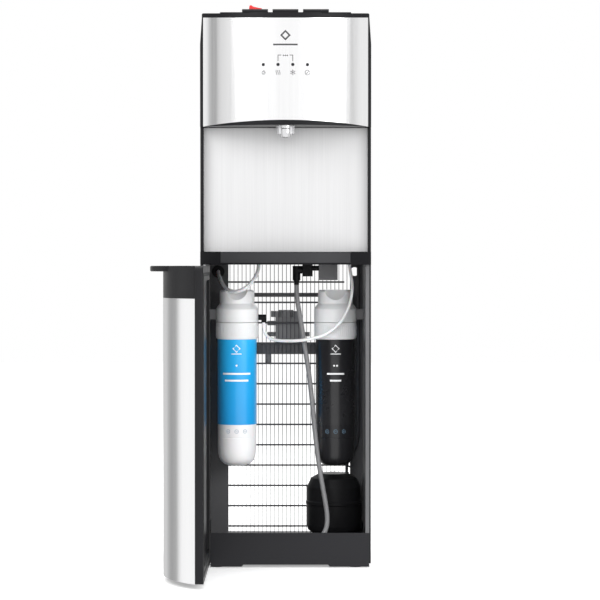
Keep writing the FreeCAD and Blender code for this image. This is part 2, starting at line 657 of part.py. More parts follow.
def build_door():
    """Bowed steel door on a black liner, with its cap, pull lip, trim and gasket."""
    skin_half = "door_half - 6"
    full = ("door_low", "door_high")
    body_z = ("door_low", "cap_low")
    leaf = block("liner_leaf", ("hinge_x", "door_half"), ("liner_outer", "liner_inner"), full)
    rounded = doc.addObject("Part::Fillet", "liner_rounded")
    rounded.Base = leaf
    rounded.Edges = free_edges(leaf, size("door_half"))
    barrel = rod("liner_barrel", "round_end", "door_high - door_low",
                 ("hinge_x", "hinge_y", "door_low"))
    trim = block("liner_trim", ("hinge_x - 20", "door_half + 1"), ("liner_outer", "liner_inner"),
                 full)
    slab = common("liner_slab", fuse("liner_sum", rounded, barrel), trim)
    panel = block("liner_panel", (-128, 132), ("liner_inner - 5", "liner_inner + 1"), (36, 538))
    bore = rod("liner_bore", "pin_radius + running_gap", 600, ("hinge_x", "hinge_y", 0))
    groove = cut("gasket_ring", block("gasket_outer", (-136, 146), ("liner_inner - 2",
                 "liner_inner + 0.8"), (22, 552)),
                 block("gasket_inner", (-130, 140), ("liner_inner - 3", "liner_inner + 2"),
                       (28, 546)))
    liner = cut("liner_cut", slab, panel, bore, groove)
    shell = cut("skin_shell", bow("skin_outer", 0, body_z, skin_half, "liner_outer"),
                bow("skin_inner", "skin_gauge", body_z, skin_half, "liner_outer"))
    cap = bow("cap_outer", 0, ("cap_low", "door_high"), skin_half, "liner_outer")
    cap_core = bow("cap_core", 4, ("cap_low - 1", "door_high - 4"), "%s - 4" % skin_half,
                   "liner_outer - 0.001")
    lip_slab = common("lip_slab",
                      rod("lip_drum", "lip_radius", "lip_thick",
                          (0, "lip_front + lip_radius", "door_high - lip_thick")),
                      block("lip_window", (-76, 76), ("lip_front - 1", "-205"),
                            ("door_high - lip_thick", "door_high")))
    lip_edge = [number for number in outer_rim(lip_slab, size("door_high - lip_thick"))]
    lip = doc.addObject("Part::Fillet", "lip_eased")
    lip.Base = lip_slab
    lip.Edges = [(number, 2.5, 2.5) for number in
                 lip_edge + outer_rim(lip_slab, size("door_high"))]
    foot = bow("foot_outer", "skin_gauge", ("door_low + 1", "door_low + 5"), skin_half,
               "liner_outer")
    for label, thing in (("door_liner", liner), ("door_gasket", groove),
                         ("door_steel_skin", shell),
                         ("door_top_cap", fuse("door_cap", cut("cap_hollow", cap, cap_core), lip)),
                         ("door_bottom_trim", foot)):
        node(label, open_door(thing))

    strap = block("lower_strap", (-156, -140), ("hinge_y - 7", "front_face"), (4, 7))
    leg = block("lower_leg", (-156, -140), ("front_face - 1.5", "front_face"), (7, 9))
    pin = rod("lower_pin", "pin_radius", 20, ("hinge_x", "hinge_y", 7))
    washer = rod("lower_washer", 6, 2.6, ("hinge_x", "hinge_y", 7))
    upper = rod("upper_pin", "pin_radius", 23, ("hinge_x", "hinge_y", 546))
    node("hinge_brackets", group("hinge_brackets",
                                 fuse("lower_hinge", strap, leg, pin, washer), upper))


# ---------------------------------------------------------------- hoses

SUPPLY_ROUTE = [(-134, 99, 552), (-134, 80, 552), (-132.5, 58, 548), (-129, 37, 540),
                (-124, 16, 530), (-117, -5, 521), (-107, -24, 515), (-92, -38, 514),
                (-75, -42, 522), (-62, -37, 536), (-54, -28, 551), (-52, -21, 566),
                (-52, -21, 578)]
LINK_ROUTE = [(-43.5, 20, 454), (-43.5, 20, 443), (-40, 17.5, 431), (-31.5, 11.5, 423),
              (-17, 1.5, 419.5), (5, -11.5, 419), (30, -24, 420.5), (54, -34, 425),
              (76, -41.5, 433), (95, -45, 446), (111, -45, 465), (122, -42, 490),
              (127, -37.5, 517), (125, -32, 542), (121, -28, 562), (121, -28, 578)]
SUCTION_ROUTE = [(20, 10, 527), (20, 10, 503), (28, 4, 460), (36, -5, 408), (45, -13, 350),
                 (51, -20, 292), (56, -27, 238), (62, -36, 188), (69, -47, 148),
                 (75, -61, 115), (79, -76, 88), (77, -92, 67), (67, -105, 52),
                 (49, -110, 43.5), (25, -110, 43.5)]
REFRIGERANT_ROUTE = [(118, 72, 160), (118, 72, 171), (120.5, 75, 181.5), (126, 81, 190),
                     (133, 88, 199.5), (138.5, 93, 213), (142, 95, 236), (142.3, 95.4, 286),
                     (142, 95, 390), (141, 94, 560)]


def tube_along(name, route, radius):
    """Return a tube of straight runs joined by arcs, its length and its arc radii."""
    points = [V(*spot) for spot in route]
    edges = []
    radii = []
    start = points[0]
    for before, corner, after in zip(points, points[1:], points[2:]):
        into = (corner - before).normalize()
        out = (after - corner).normalize()
        half_turn = into.getAngle(out) / 2
        reach = 0.45 * min((corner - before).Length, (after - corner).Length)
        bend = reach / math.tan(half_turn)
        radii.append(bend)
        first = corner - into * reach
        last = corner + out * reach
        inward = (out - into).normalize()
        middle = corner + inward * (bend / math.cos(half_turn) - bend)
        edges.append(Part.LineSegment(start, first).toShape())
        edges.append(Part.Arc(first, middle, last).toShape())
        start = last
    edges.append(Part.LineSegment(start, points[-1]).toShape())
    wire = Part.Wire(edges)
    ring = Part.Wire([Part.makeCircle(radius, points[0], points[1] - points[0])])
    tube = wire.makePipeShell([ring], True, False)
    expected = math.pi * radius ** 2 * wire.Length
    print("%s: length %.1f mm, radii %s, volume ratio %.4f" % (
        name, wire.Length, " ".join("%.0f" % bend for bend in radii), tube.Volume / expected))
    if abs(tube.Volume / expected - 1) > 0.01:
        raise RuntimeError(name + " is not a clean tube")
    return tube


def tube_node(label, route, radius):
    """Register a tube along a route as a sub-part."""
    thing = doc.addObject("Part::Feature", label)
    thing.Shape = tube_along(label, route, radius)
    thing.Placement = FreeCAD.Placement()
    node(label, thing)


def build_hoses():
    """Supply, link and suction hoses, the probe and the refrigerant line."""
    tube_node("supply_hose", SUPPLY_ROUTE, size("supply_bore"))
    tube_node("link_hose", LINK_ROUTE, size("link_bore"))
    tube_node("suction_hose", SUCTION_ROUTE, size("suction_bore"))
    probe = turned("probe_tip", [(0, 0), (6.5, 0), (6.5, 12), (7.5, 14), (7.5, 24), (5, 27),
                                 (5, 66), (3, 70), (0, 70)], SUCTION_ROUTE[-1])
    probe.Placement.Rotation = FreeCAD.Rotation(V(0, 1, 0), -90)
    node("probe_tip", probe)
    tube_node("refrigerant_line", REFRIGERANT_ROUTE, size("line_radius"))


def finish():
    """Check every object and sub-part, then write one STEP file for each sub-part."""
    doc.recompute()
    for thing in doc.Objects:
        if {"Invalid", "Error"} & set(thing.State):
            raise RuntimeError("%s failed: %s" % (thing.Name, thing.State))
    for part in parts:
        shape = part.Shape
        if shape.isNull() or not shape.isValid() or shape.Volume <= 0:
            raise RuntimeError("%s has no sound shape" % part.Label)
    os.makedirs("parts", exist_ok=True)
    for part in parts:
        part.Shape.exportStep("parts/%s.step" % part.Label)
    print("%d sub-parts written" % len(parts))


build_base()
build_cabinet()
build_drip_tray()
build_head()
build_taps()
build_tanks()
build_cooling()
build_compartment()
build_filters()
build_rear()
build_door()
build_hoses()
finish()
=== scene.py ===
"""Looks of a free-standing water dispenser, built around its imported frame."""
import logging
import math
from dataclasses import dataclass, field
from enum import Enum
from typing import Callable, Iterable, Sequence

import bmesh
import bpy
from mathutils import Matrix, Vector


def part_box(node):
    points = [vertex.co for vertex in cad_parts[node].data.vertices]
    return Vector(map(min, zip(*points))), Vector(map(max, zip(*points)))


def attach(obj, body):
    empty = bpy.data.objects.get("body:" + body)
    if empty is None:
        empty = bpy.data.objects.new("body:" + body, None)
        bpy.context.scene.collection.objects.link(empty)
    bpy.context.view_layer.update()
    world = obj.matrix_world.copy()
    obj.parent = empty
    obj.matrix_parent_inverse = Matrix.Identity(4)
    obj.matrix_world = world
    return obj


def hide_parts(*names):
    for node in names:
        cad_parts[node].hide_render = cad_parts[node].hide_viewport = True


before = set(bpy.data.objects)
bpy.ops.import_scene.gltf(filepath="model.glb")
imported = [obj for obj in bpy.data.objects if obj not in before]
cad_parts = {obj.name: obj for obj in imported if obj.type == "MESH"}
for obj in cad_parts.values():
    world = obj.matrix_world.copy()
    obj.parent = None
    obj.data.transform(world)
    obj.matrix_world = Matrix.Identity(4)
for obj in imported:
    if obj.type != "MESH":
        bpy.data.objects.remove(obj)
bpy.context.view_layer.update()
LOG = logging.getLogger("dispenser")

Point = tuple[float, float, float]
Pair = tuple[float, float]
Color = tuple[float, float, float]

# The bowed front that the head, the shelf and the shut door share.
BOW_RADIUS = 0.2125
BOW_CENTRE_Y = -0.0125
MM = 0.001
# How far each filter stands from the centre line.
FILTER_X = 0.095


def bow_y(x: float, proud: float = 0.0) -> float:
    """Return the Y of the bowed front.

    Args:
        x: Distance from the centre line, in metres.
        proud: How far outside the steel face, in metres.

    Returns:
        The Y of the surface at that X.
    """
    return BOW_CENTRE_Y - math.sqrt((BOW_RADIUS + proud) ** 2 - x ** 2)


# ---------------------------------------------------------------- shader groups

class Grain(Enum):
    """The surface textures that the finishes choose from."""

    BRUSHED = "brushed grain"
    MOULDED = "moulded grain"
    PAINTED = "painted grain"


def add_socket(tree: bpy.types.NodeTree, name: str, way: str, kind: str,
               default: object = None) -> None:
    """Add a named socket to a node group.

    Args:
        tree: The group.
        name: The socket's name.
        way: INPUT or OUTPUT.
        kind: The socket's type, such as NodeSocketFloat.
        default: The value an input starts with.
    """
    socket = tree.interface.new_socket(name=name, in_out=way, socket_type=kind)
    if default is not None:
        socket.default_value = default


def math_node(tree: bpy.types.NodeTree, operation: str, *values: object) -> bpy.types.NodeSocket:
    """Add a Math node whose inputs are sockets or numbers.

    Args:
        tree: The tree that gets the node.
        operation: The Math node's operation.
        values: Sockets to link or numbers to set, in order.

    Returns:
        The node's output.
    """
    node = tree.nodes.new("ShaderNodeMath")
    node.operation = operation
    for socket, value in zip(node.inputs, values):
        if isinstance(value, bpy.types.NodeSocket):
            tree.links.new(value, socket)
        else:
            socket.default_value = value
    return node.outputs[0]


def noise(tree: bpy.types.NodeTree, vector: bpy.types.NodeSocket, stretch: Point,
          detail: float = 3.0) -> bpy.types.NodeSocket:
    """Add a noise texture on stretched coordinates.

    Args:
        tree: The tree that gets the nodes.
        vector: The coordinates.
        stretch: Cells per metre along each axis.
        detail: Octaves of the noise.

    Returns:
        The noise value, 0 to 1.
    """
    mapping = tree.nodes.new("ShaderNodeMapping")
    mapping.inputs["Scale"].default_value = stretch
    tree.links.new(vector, mapping.inputs["Vector"])
    texture = tree.nodes.new("ShaderNodeTexNoise")
    texture.inputs["Scale"].default_value = 1.0
    texture.inputs["Detail"].default_value = detail
    tree.links.new(mapping.outputs["Vector"], texture.inputs["Vector"])
    return texture.outputs["Fac"]


class GrainLibrary:
    """Builds each shared surface texture once, as a shader node group."""

    def __init__(self) -> None:
        """Start with no groups built."""
        self._groups: dict[Grain, bpy.types.NodeTree] = {}

    def get(self, grain: Grain) -> bpy.types.NodeTree:
        """Return the group of one grain, building it at its first use."""
        if grain not in self._groups:
            # Cells per metre along X, Y and Z: first the fine grain, then the handling marks.
            recipes = {Grain.BRUSHED: ((900.0, 900.0, 6.0), (160.0, 160.0, 2.0)),
                       Grain.MOULDED: ((1400.0, 1400.0, 1400.0), (14.0, 14.0, 14.0)),
                       Grain.PAINTED: ((420.0, 420.0, 420.0), (9.0, 9.0, 9.0))}
            self._groups[grain] = self._build(grain, *recipes[grain])
        return self._groups[grain]

    def _build(self, grain: Grain, fine: Point, broad: Point) -> bpy.types.NodeTree:
        """Build one group.

        Args:
            grain: Which texture it is.
            fine: Cells per metre of the fine grain.
            broad: Cells per metre of the handling marks.

        Returns:
            A group with Vector, Color, Tint, Roughness and Spread inputs and Color,
            Roughness and Height outputs.
        """
        tree = bpy.data.node_groups.new(grain.value, "ShaderNodeTree")
        add_socket(tree, "Vector", "INPUT", "NodeSocketVector")
        add_socket(tree, "Color", "INPUT", "NodeSocketColor", (0.5, 0.5, 0.5, 1.0))
        add_socket(tree, "Tint", "INPUT", "NodeSocketFloat", 0.1)
        add_socket(tree, "Roughness", "INPUT", "NodeSocketFloat", 0.4)
        add_socket(tree, "Spread", "INPUT", "NodeSocketFloat", 0.1)
        add_socket(tree, "Color", "OUTPUT", "NodeSocketColor")
        add_socket(tree, "Roughness", "OUTPUT", "NodeSocketFloat")
        add_socket(tree, "Height", "OUTPUT", "NodeSocketFloat")
        entry = tree.nodes.new("NodeGroupInput")
        leave = tree.nodes.new("NodeGroupOutput")
        streaks = noise(tree, entry.outputs["Vector"], fine)
        marks = noise(tree, entry.outputs["Vector"], broad, 4.0)
        mixed = math_node(tree, "ADD", math_node(tree, "MULTIPLY", streaks, 0.55),
                          math_node(tree, "MULTIPLY", marks, 0.45))
        swing = math_node(tree, "SUBTRACT", mixed, 0.5)
        shade = math_node(tree, "MULTIPLY_ADD", swing, entry.outputs["Tint"], 1.0)
        scaled = tree.nodes.new("ShaderNodeVectorMath")
        scaled.operation = "SCALE"
        tree.links.new(entry.outputs["Color"], scaled.inputs[0])
        tree.links.new(shade, scaled.inputs["Scale"])
        tree.links.new(scaled.outputs[0], leave.inputs["Color"])
        worn = math_node(tree, "MULTIPLY_ADD", math_node(tree, "SUBTRACT", marks, 0.5),
                         entry.outputs["Spread"], entry.outputs["Roughness"])
        tree.links.new(worn, leave.inputs["Roughness"])
        tree.links.new(streaks, leave.inputs["Height"])
        return tree


GRAINS = GrainLibrary()


@dataclass(frozen=True)
class Finish:
    """One finish: a colour and gloss, with a shared grain for its detail."""

    name: str
    color: Color
    roughness: float
    grain: Grain = Grain.MOULDED
    metallic: float = 0.0
    tint: float = 0.12
    spread: float = 0.12
    bump: float = 0.08
    depth: float = 0.0002
    coat: float = 0.0
    subsurface: float = 0.0
    round_edge: float = 0.0006
    specular: float = 0.5

    def build(self) -> bpy.types.Material:
        """Return the finish's material, making it at its first use."""
        # The frame's own materials carry the plain slot names, so the suffix keeps them apart.
        name = self.name + "_finish"
        if name in bpy.data.materials:
            return bpy.data.materials[name]
        material = bpy.data.materials.new(name)
        material.use_nodes = True
        tree = material.node_tree
        shader = tree.nodes["Principled BSDF"]
        shader.inputs["Metallic"].default_value = self.metallic
        shader.inputs["Specular IOR Level"].default_value = self.specular
        shader.inputs["Coat Weight"].default_value = self.coat
        shader.inputs["Coat Roughness"].default_value = 0.08
        shader.inputs["Subsurface Weight"].default_value = self.subsurface
        shader.inputs["Subsurface Scale"].default_value = 0.004
        self._dress(tree, shader)
        return material

    def _dress(self, tree: bpy.types.NodeTree, shader: bpy.types.Node) -> None:
        """Wire the grain group and its bump into the shader."""
        place = tree.nodes.new("ShaderNodeTexCoord")
        grain = tree.nodes.new("ShaderNodeGroup")
        grain.node_tree = GRAINS.get(self.grain)
        tree.links.new(place.outputs["Object"], grain.inputs["Vector"])
        self._color(tree, place.outputs["Object"], grain.inputs["Color"])
        grain.inputs["Tint"].default_value = self.tint
        grain.inputs["Roughness"].default_value = self.roughness
        grain.inputs["Spread"].default_value = self.spread
        tree.links.new(grain.outputs["Color"], shader.inputs["Base Color"])
        tree.links.new(grain.outputs["Roughness"], shader.inputs["Roughness"])
        bump = tree.nodes.new("ShaderNodeBump")
        bump.inputs["Strength"].default_value = self.bump
        bump.inputs["Distance"].default_value = self.depth
        tree.links.new(grain.outputs["Height"], bump.inputs["Height"])
        if self.round_edge:
            soft = tree.nodes.new("ShaderNodeBevel")
            soft.samples = 4
            soft.inputs["Radius"].default_value = self.round_edge
            tree.links.new(soft.outputs["Normal"], bump.inputs["Normal"])
        tree.links.new(bump.outputs["Normal"], shader.inputs["Normal"])

    def _color(self, tree: bpy.types.NodeTree, place: bpy.types.NodeSocket,
               target: bpy.types.NodeSocket) -> None:
        """Set the colour that the grain varies; a printed finish links it instead."""
        target.default_value = (*self.color, 1.0)


STEEL = Finish("brushed_steel", (0.95, 0.95, 0.955), 0.2, Grain.BRUSHED, metallic=1.0, tint=0.16,
               spread=0.12, bump=0.08, depth=0.00012, round_edge=0.0)
ALCOVE_STEEL = Finish("alcove_steel", (0.8, 0.8, 0.805), 0.42, Grain.BRUSHED, metallic=1.0,
                      tint=0.2, spread=0.12, bump=0.08, depth=0.0001, round_edge=0.0)
SATIN_BLACK = Finish("satin_black", (0.006, 0.006, 0.007), 0.33, tint=0.3, spread=0.14,
                     bump=0.12, round_edge=0.0012, specular=0.16)
DOOR_BLACK = Finish("door_black", (0.007, 0.007, 0.008), 0.34, tint=0.3, spread=0.16, bump=0.14,
                    round_edge=0.0015, specular=0.2)
SHEET_BLACK = Finish("sheet_black", (0.01, 0.01, 0.011), 0.42, Grain.PAINTED, tint=0.3,
                     spread=0.18, bump=0.2, depth=0.0003, specular=0.16)
LINER_DARK = Finish("liner_dark", (0.085, 0.085, 0.089), 0.5, Grain.PAINTED, tint=0.3, spread=0.2,
                    bump=0.15, specular=0.35)
TRAY_BLACK = Finish("tray_black", (0.012, 0.012, 0.014), 0.48, tint=0.3, bump=0.25, spread=0.2,
                    round_edge=0.0008, specular=0.25)
SHELF_BLACK = Finish("shelf_black", (0.004, 0.004, 0.005), 0.48, tint=0.3, bump=0.25,
                     spread=0.2, round_edge=0.0008, specular=0.12)
TRAY_GREY = Finish("tray_grey", (0.022, 0.022, 0.024), 0.4, tint=0.25, bump=0.2, spread=0.15,
                   specular=0.2)
PUMP_GREY = Finish("pump_grey", (0.13, 0.13, 0.135), 0.45, tint=0.2, bump=0.15)
VALVE_GREY = Finish("valve_grey", (0.16, 0.16, 0.165), 0.42, tint=0.25, bump=0.15)
RAIL_GREY = Finish("rail_grey", (0.075, 0.075, 0.08), 0.45, Grain.PAINTED, tint=0.25,
                   spread=0.2, bump=0.1)
CHROME = Finish("chrome_plate", (0.78, 0.78, 0.79), 0.09, Grain.PAINTED, metallic=1.0, tint=0.05,
                spread=0.06, bump=0.02)
SPOUT_GREY = Finish("spout_grey", (0.42, 0.42, 0.43), 0.38, tint=0.12)
LOCK_RED = Finish("lock_red", (0.42, 0.008, 0.008), 0.3, tint=0.15, spread=0.1)
MOULDED_WHITE = Finish("moulded_white", (0.8, 0.8, 0.81), 0.32, tint=0.06, spread=0.1,
                       subsurface=0.08, round_edge=0.0012)
TUBE_WHITE = Finish("tube_white", (0.8, 0.81, 0.82), 0.34, tint=0.06, spread=0.1,
                    subsurface=0.12, round_edge=0.0)
TUBE_GREY = Finish("tube_grey", (0.18, 0.18, 0.185), 0.42, tint=0.2, spread=0.12, round_edge=0.0)
WIRE_ENAMEL = Finish("wire_enamel", (0.05, 0.05, 0.054), 0.4, Grain.PAINTED, tint=0.35,
                     spread=0.2, round_edge=0.0)
ZINC = Finish("zinc_sheet", (0.5, 0.51, 0.52), 0.42, Grain.PAINTED, metallic=0.85, tint=0.25,
              spread=0.25, bump=0.08)
STAINLESS = Finish("stainless", (0.6, 0.6, 0.61), 0.25, Grain.BRUSHED, metallic=1.0, tint=0.15,
                   spread=0.12, bump=0.05)
FOAM = Finish("foam", (0.82, 0.82, 0.79), 0.8, Grain.PAINTED, tint=0.2, bump=0.6, depth=0.0008)
BOARD = Finish("board", (0.02, 0.12, 0.05), 0.35, tint=0.4, bump=0.2)
RUBBER = Finish("rubber", (0.018, 0.018, 0.018), 0.65, tint=0.3, bump=0.3)
SMOKED_LENS = Finish("smoked_lens", (0.01, 0.01, 0.012), 0.35, tint=0.1, specular=0.15)
PRINT_BLACK = Finish("print_black", (0.03, 0.03, 0.032), 0.5, tint=0.1, round_edge=0.0)
PRINT_SLATE = Finish("print_slate", (0.16, 0.26, 0.36), 0.5, tint=0.1, round_edge=0.0)
PRINT_GREY = Finish("print_grey", (0.13, 0.13, 0.135), 0.5, tint=0.1, round_edge=0.0)
BOWL_DARK = Finish("bowl_dark", (0.016, 0.016, 0.018), 0.3, tint=0.1, spread=0.1, coat=0.15)
COLLAR_WHITE = Finish("collar_white", (0.76, 0.765, 0.775), 0.36, tint=0.06, spread=0.1,
                      subsurface=0.06, round_edge=0.0008)
PRINT_WHITE = Finish("print_white", (0.85, 0.86, 0.87), 0.45, tint=0.06, round_edge=0.0)


@dataclass(frozen=True)
class PrintedSleeve(Finish):
    """A glossy film whose colour shades gently down its height."""

    low_color: Color = (0.0, 0.3, 0.7)
    low_z: float = 0.258
    high_z: float = 0.423

    def _color(self, tree: bpy.types.NodeTree, place: bpy.types.NodeSocket,
               target: bpy.types.NodeSocket) -> None:
        """Blend from the low colour to the high one along Z."""
        split = tree.nodes.new("ShaderNodeSeparateXYZ")
        tree.links.new(place, split.inputs[0])
        climb = tree.nodes.new("ShaderNodeMapRange")
        climb.inputs["From Min"].default_value = self.low_z
        climb.inputs["From Max"].default_value = self.high_z
        tree.links.new(split.outputs["Z"], climb.inputs["Value"])
        ramp = tree.nodes.new("ShaderNodeValToRGB")
        ramp.color_ramp.elements[0].color = (*self.low_color, 1.0)
        ramp.color_ramp.elements[1].color = (*self.color, 1.0)
        tree.links.new(climb.outputs["Result"], ramp.inputs["Fac"])
        tree.links.new(ramp.outputs["Color"], target)


BLUE_SLEEVE = PrintedSleeve("blue_sleeve", (0.018, 0.4, 0.8), 0.3, tint=0.06, coat=0.2,
                            round_edge=0.0, low_color=(0.014, 0.31, 0.7))
BLACK_SLEEVE = PrintedSleeve("black_sleeve", (0.012, 0.012, 0.014), 0.28, tint=0.1, coat=0.2,
                             round_edge=0.0, low_color=(0.02, 0.02, 0.022))


# ---------------------------------------------------------------- making pieces

def place_piece(piece: bpy.types.Object, finish: Finish, body: str, slot: str,
                *stands_for: str) -> None:
    """Dress a finished piece and tie it to its body.

    Args:
        piece: The object, at the origin and unturned.
        finish: Its finish.
        body: The body it rides on.
        slot: The record's material slot; not used.
        stands_for: The CAD nodes that it replaces.
    """
    if not piece.data.materials:
        piece.data.materials.append(finish.build())
    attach(piece, body)
    if stands_for:
        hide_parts(*stands_for)
    LOG.info("piece %s on %s", piece.name, body)


# Edges flatter than this many degrees are shaded smooth.
SMOOTH_ANGLE = 35.0


def mesh_object(name: str, bm: bmesh.types.BMesh) -> bpy.types.Object:
    """Turn a bmesh into an object with outward faces and soft shading.

    Args:
        name: The object's name.
        bm: The mesh, which is freed.

    Returns:
        The new object, linked to the scene.
    """
    bmesh.ops.remove_doubles(bm, verts=bm.verts, dist=1e-6)
    bmesh.ops.recalc_face_normals(bm, faces=bm.faces)
    mesh = bpy.data.meshes.new(name)
    bm.to_mesh(mesh)
    bm.free()
    for face in mesh.polygons:
        face.use_smooth = True
    piece = bpy.data.objects.new(name, mesh)
    bpy.context.scene.collection.objects.link(piece)
    mesh.set_sharp_from_angle(angle=math.radians(SMOOTH_ANGLE))
    return piece


def lathe(name: str, profile: Sequence[Pair], centre: Point, segments: int = 96,
          turn: Matrix | None = None) -> bpy.types.Object:
    """Turn a profile about an upright line.

    Args:
        name: The object's name.
        profile: (radius, height) pairs from one end to the other.
        centre: Where the line stands.
        segments: Facets around.
        turn: A rotation given to the whole before it is placed.

    Returns:
        A closed object.
    """
    bm = bmesh.new()
    rings = []
    for radius, height in profile:
        if radius < 1e-7:
            rings.append([bm.verts.new((0.0, 0.0, height))])
            continue
        rings.append([bm.verts.new((radius * math.cos(math.tau * step / segments),
                                    radius * math.sin(math.tau * step / segments), height))
                      for step in range(segments)])
    for lower, upper in zip(rings, rings[1:]):
        for step in range(segments):
            following = (step + 1) % segments
            corners = [lower[step % len(lower)], lower[following % len(lower)],
                       upper[following % len(upper)], upper[step % len(upper)]]
            corners = list(dict.fromkeys(corners))
            if len(corners) > 2:
                bm.faces.new(corners)
    spin = (turn or Matrix.Identity(3)).to_4x4()
    bmesh.ops.transform(bm, matrix=Matrix.Translation(centre) @ spin, verts=bm.verts)
    return mesh_object(name, bm)


def rounded(profile: Sequence[tuple[float, float, float]], steps: int = 5) -> list[Pair]:
    """Round the corners of a profile.

    Args:
        profile: (radius, height, corner radius) triples.
        steps: Points on each rounded corner.

    Returns:
        (radius, height) pairs.
    """
    result: list[Pair] = []
    for index, (radius, height, soft) in enumerate(profile):
        if soft <= 0.0 or index in (0, len(profile) - 1):
            result.append((radius, height))
            continue
        corner = Vector((radius, height))
        before = Vector(profile[index - 1][:2])
        after = Vector(profile[index + 1][:2])
        start = corner + (before - corner).normalized() * min(soft, (before - corner).length / 2)
        end = corner + (after - corner).normalized() * min(soft, (after - corner).length / 2)
        for step in range(steps + 1):
            share = step / steps
            spot = start.lerp(corner, share).lerp(corner.lerp(end, share), share)
            result.append((spot.x, spot.y))
    return result


# ---------------------------------------------------------------- flat print

Patch = list[Pair]

# The print is cut into strips about this wide, in metres.
STRIP_WIDTH = 0.002


def bar(left: float, low: float, right: float, high: float) -> list[Patch]:
    """Return a rectangle cut into upright strips, so that it can bend."""
    count = max(1, int((right - left) / STRIP_WIDTH))
    edges = [left + (right - left) * step / count for step in range(count + 1)]
    return [[(a, low), (b, low), (b, high), (a, high)] for a, b in zip(edges, edges[1:])]


def polar(centre: Pair, reach: float, turn: float) -> Pair:
    """Return the point at a distance and an angle, in radians, from a centre."""
    return (centre[0] + reach * math.cos(turn), centre[1] + reach * math.sin(turn))


RING_PATCHES = 24
SMALLEST_HOLE = 1e-5


def ring_band(centre: Pair, radius: float, width: float) -> list[Patch]:
    """Return a band round a circle, in quads.

    Args:
        centre: The circle's centre.
        radius: The band's outer radius.
        width: The band's width; as wide as the radius, it is a disc.

    Returns:
        The band's patches.
    """
    inner = max(radius - width, SMALLEST_HOLE)
    patches = []
    for step in range(RING_PATCHES):
        here, there = [math.radians(360.0 * (step + end) / RING_PATCHES) for end in (0, 1)]
        patches.append([polar(centre, inner, here), polar(centre, radius, here),
                        polar(centre, radius, there), polar(centre, inner, there)])
    return patches


def stroke(start: Pair, end: Pair, width: float) -> list[Patch]:
    """Return a straight stroke of even width between two points."""
    run = Vector(end) - Vector(start)
    side = Vector((-run.y, run.x)).normalized() * width / 2
    a, b = Vector(start), Vector(end)
    return [[tuple(a - side), tuple(b - side), tuple(b + side), tuple(a + side)]]


def lozenge(centre: Pair, reach: float, width: float) -> list[Patch]:
    """Return a plain hollow lozenge.

    Args:
        centre: Its middle.
        reach: From the middle to each tip.
        width: How wide its band is.

    Returns:
        One patch for each side.
    """
    tips = [(0.0, 1.0), (1.0, 0.0), (0.0, -1.0), (-1.0, 0.0)]
    inner = reach - width
    return [[(centre[0] + ax * reach, centre[1] + az * reach),
             (centre[0] + bx * reach, centre[1] + bz * reach),
             (centre[0] + bx * inner, centre[1] + bz * inner),
             (centre[0] + ax * inner, centre[1] + az * inner)]
            for (ax, az), (bx, bz) in zip(tips, tips[1:] + tips[:1])]


def print_piece(name: str, patches: Iterable[Patch], surface: Callable[[float, float], Point],
                ) -> bpy.types.Object:
    """Lay flat patches on a surface as one thin printed mesh.

    Args:
        name: The object's name.
        patches: Outlines in the surface's own two coordinates.
        surface: Gives the place in space of a point of the outlines.

    Returns:
        The print, facing out of the front.
    """
    bm = bmesh.new()
    for patch in patches:
        face = bm.faces.new([bm.verts.new(surface(*spot)) for spot in patch])
        face.normal_update()
        if face.normal.y > 0:
            face.normal_flip()
    mesh = bpy.data.meshes.new(name)
    bm.to_mesh(mesh)
    bm.free()
    piece = bpy.data.objects.new(name, mesh)
    bpy.context.scene.collection.objects.link(piece)
    return piece


def sun_symbol(centre: Pair, scale: float) -> list[Patch]:
    """Return a small ring with eight rays."""
    patches = ring_band(centre, scale * 0.55, scale * 0.26)
    for step in range(8):
        turn = math.tau * step / 8
        patches += stroke(polar(centre, scale * 0.62, turn), polar(centre, scale, turn),
                          scale * 0.24)
    return patches


def wave_symbol(centre: Pair, scale: float) -> list[Patch]:
    """Return three upright waves."""
    patches = []
    for shift in (-0.75, 0.0, 0.75):
        spine = [(centre[0] + scale * (shift + 0.16 * math.sin(math.tau * step / 10)),
                  centre[1] + scale * (step / 5 - 1)) for step in range(11)]
        for here, there in zip(spine, spine[1:]):
            patches += stroke(here, there, scale * 0.34)
    return patches


def flake_symbol(centre: Pair, scale: float) -> list[Patch]:
    """Return a six-armed flake."""
    patches = []
    for step in range(6):
        turn = math.tau * step / 6 + math.pi / 6
        patches += stroke(centre, polar(centre, scale, turn), scale * 0.25)
        fork = polar(centre, scale * 0.55, turn)
        for lean in (-0.9, 0.9):
            patches += stroke(fork, polar(fork, scale * 0.3, turn + lean), scale * 0.18)
    return patches


# ---------------------------------------------------------------- sub-assemblies

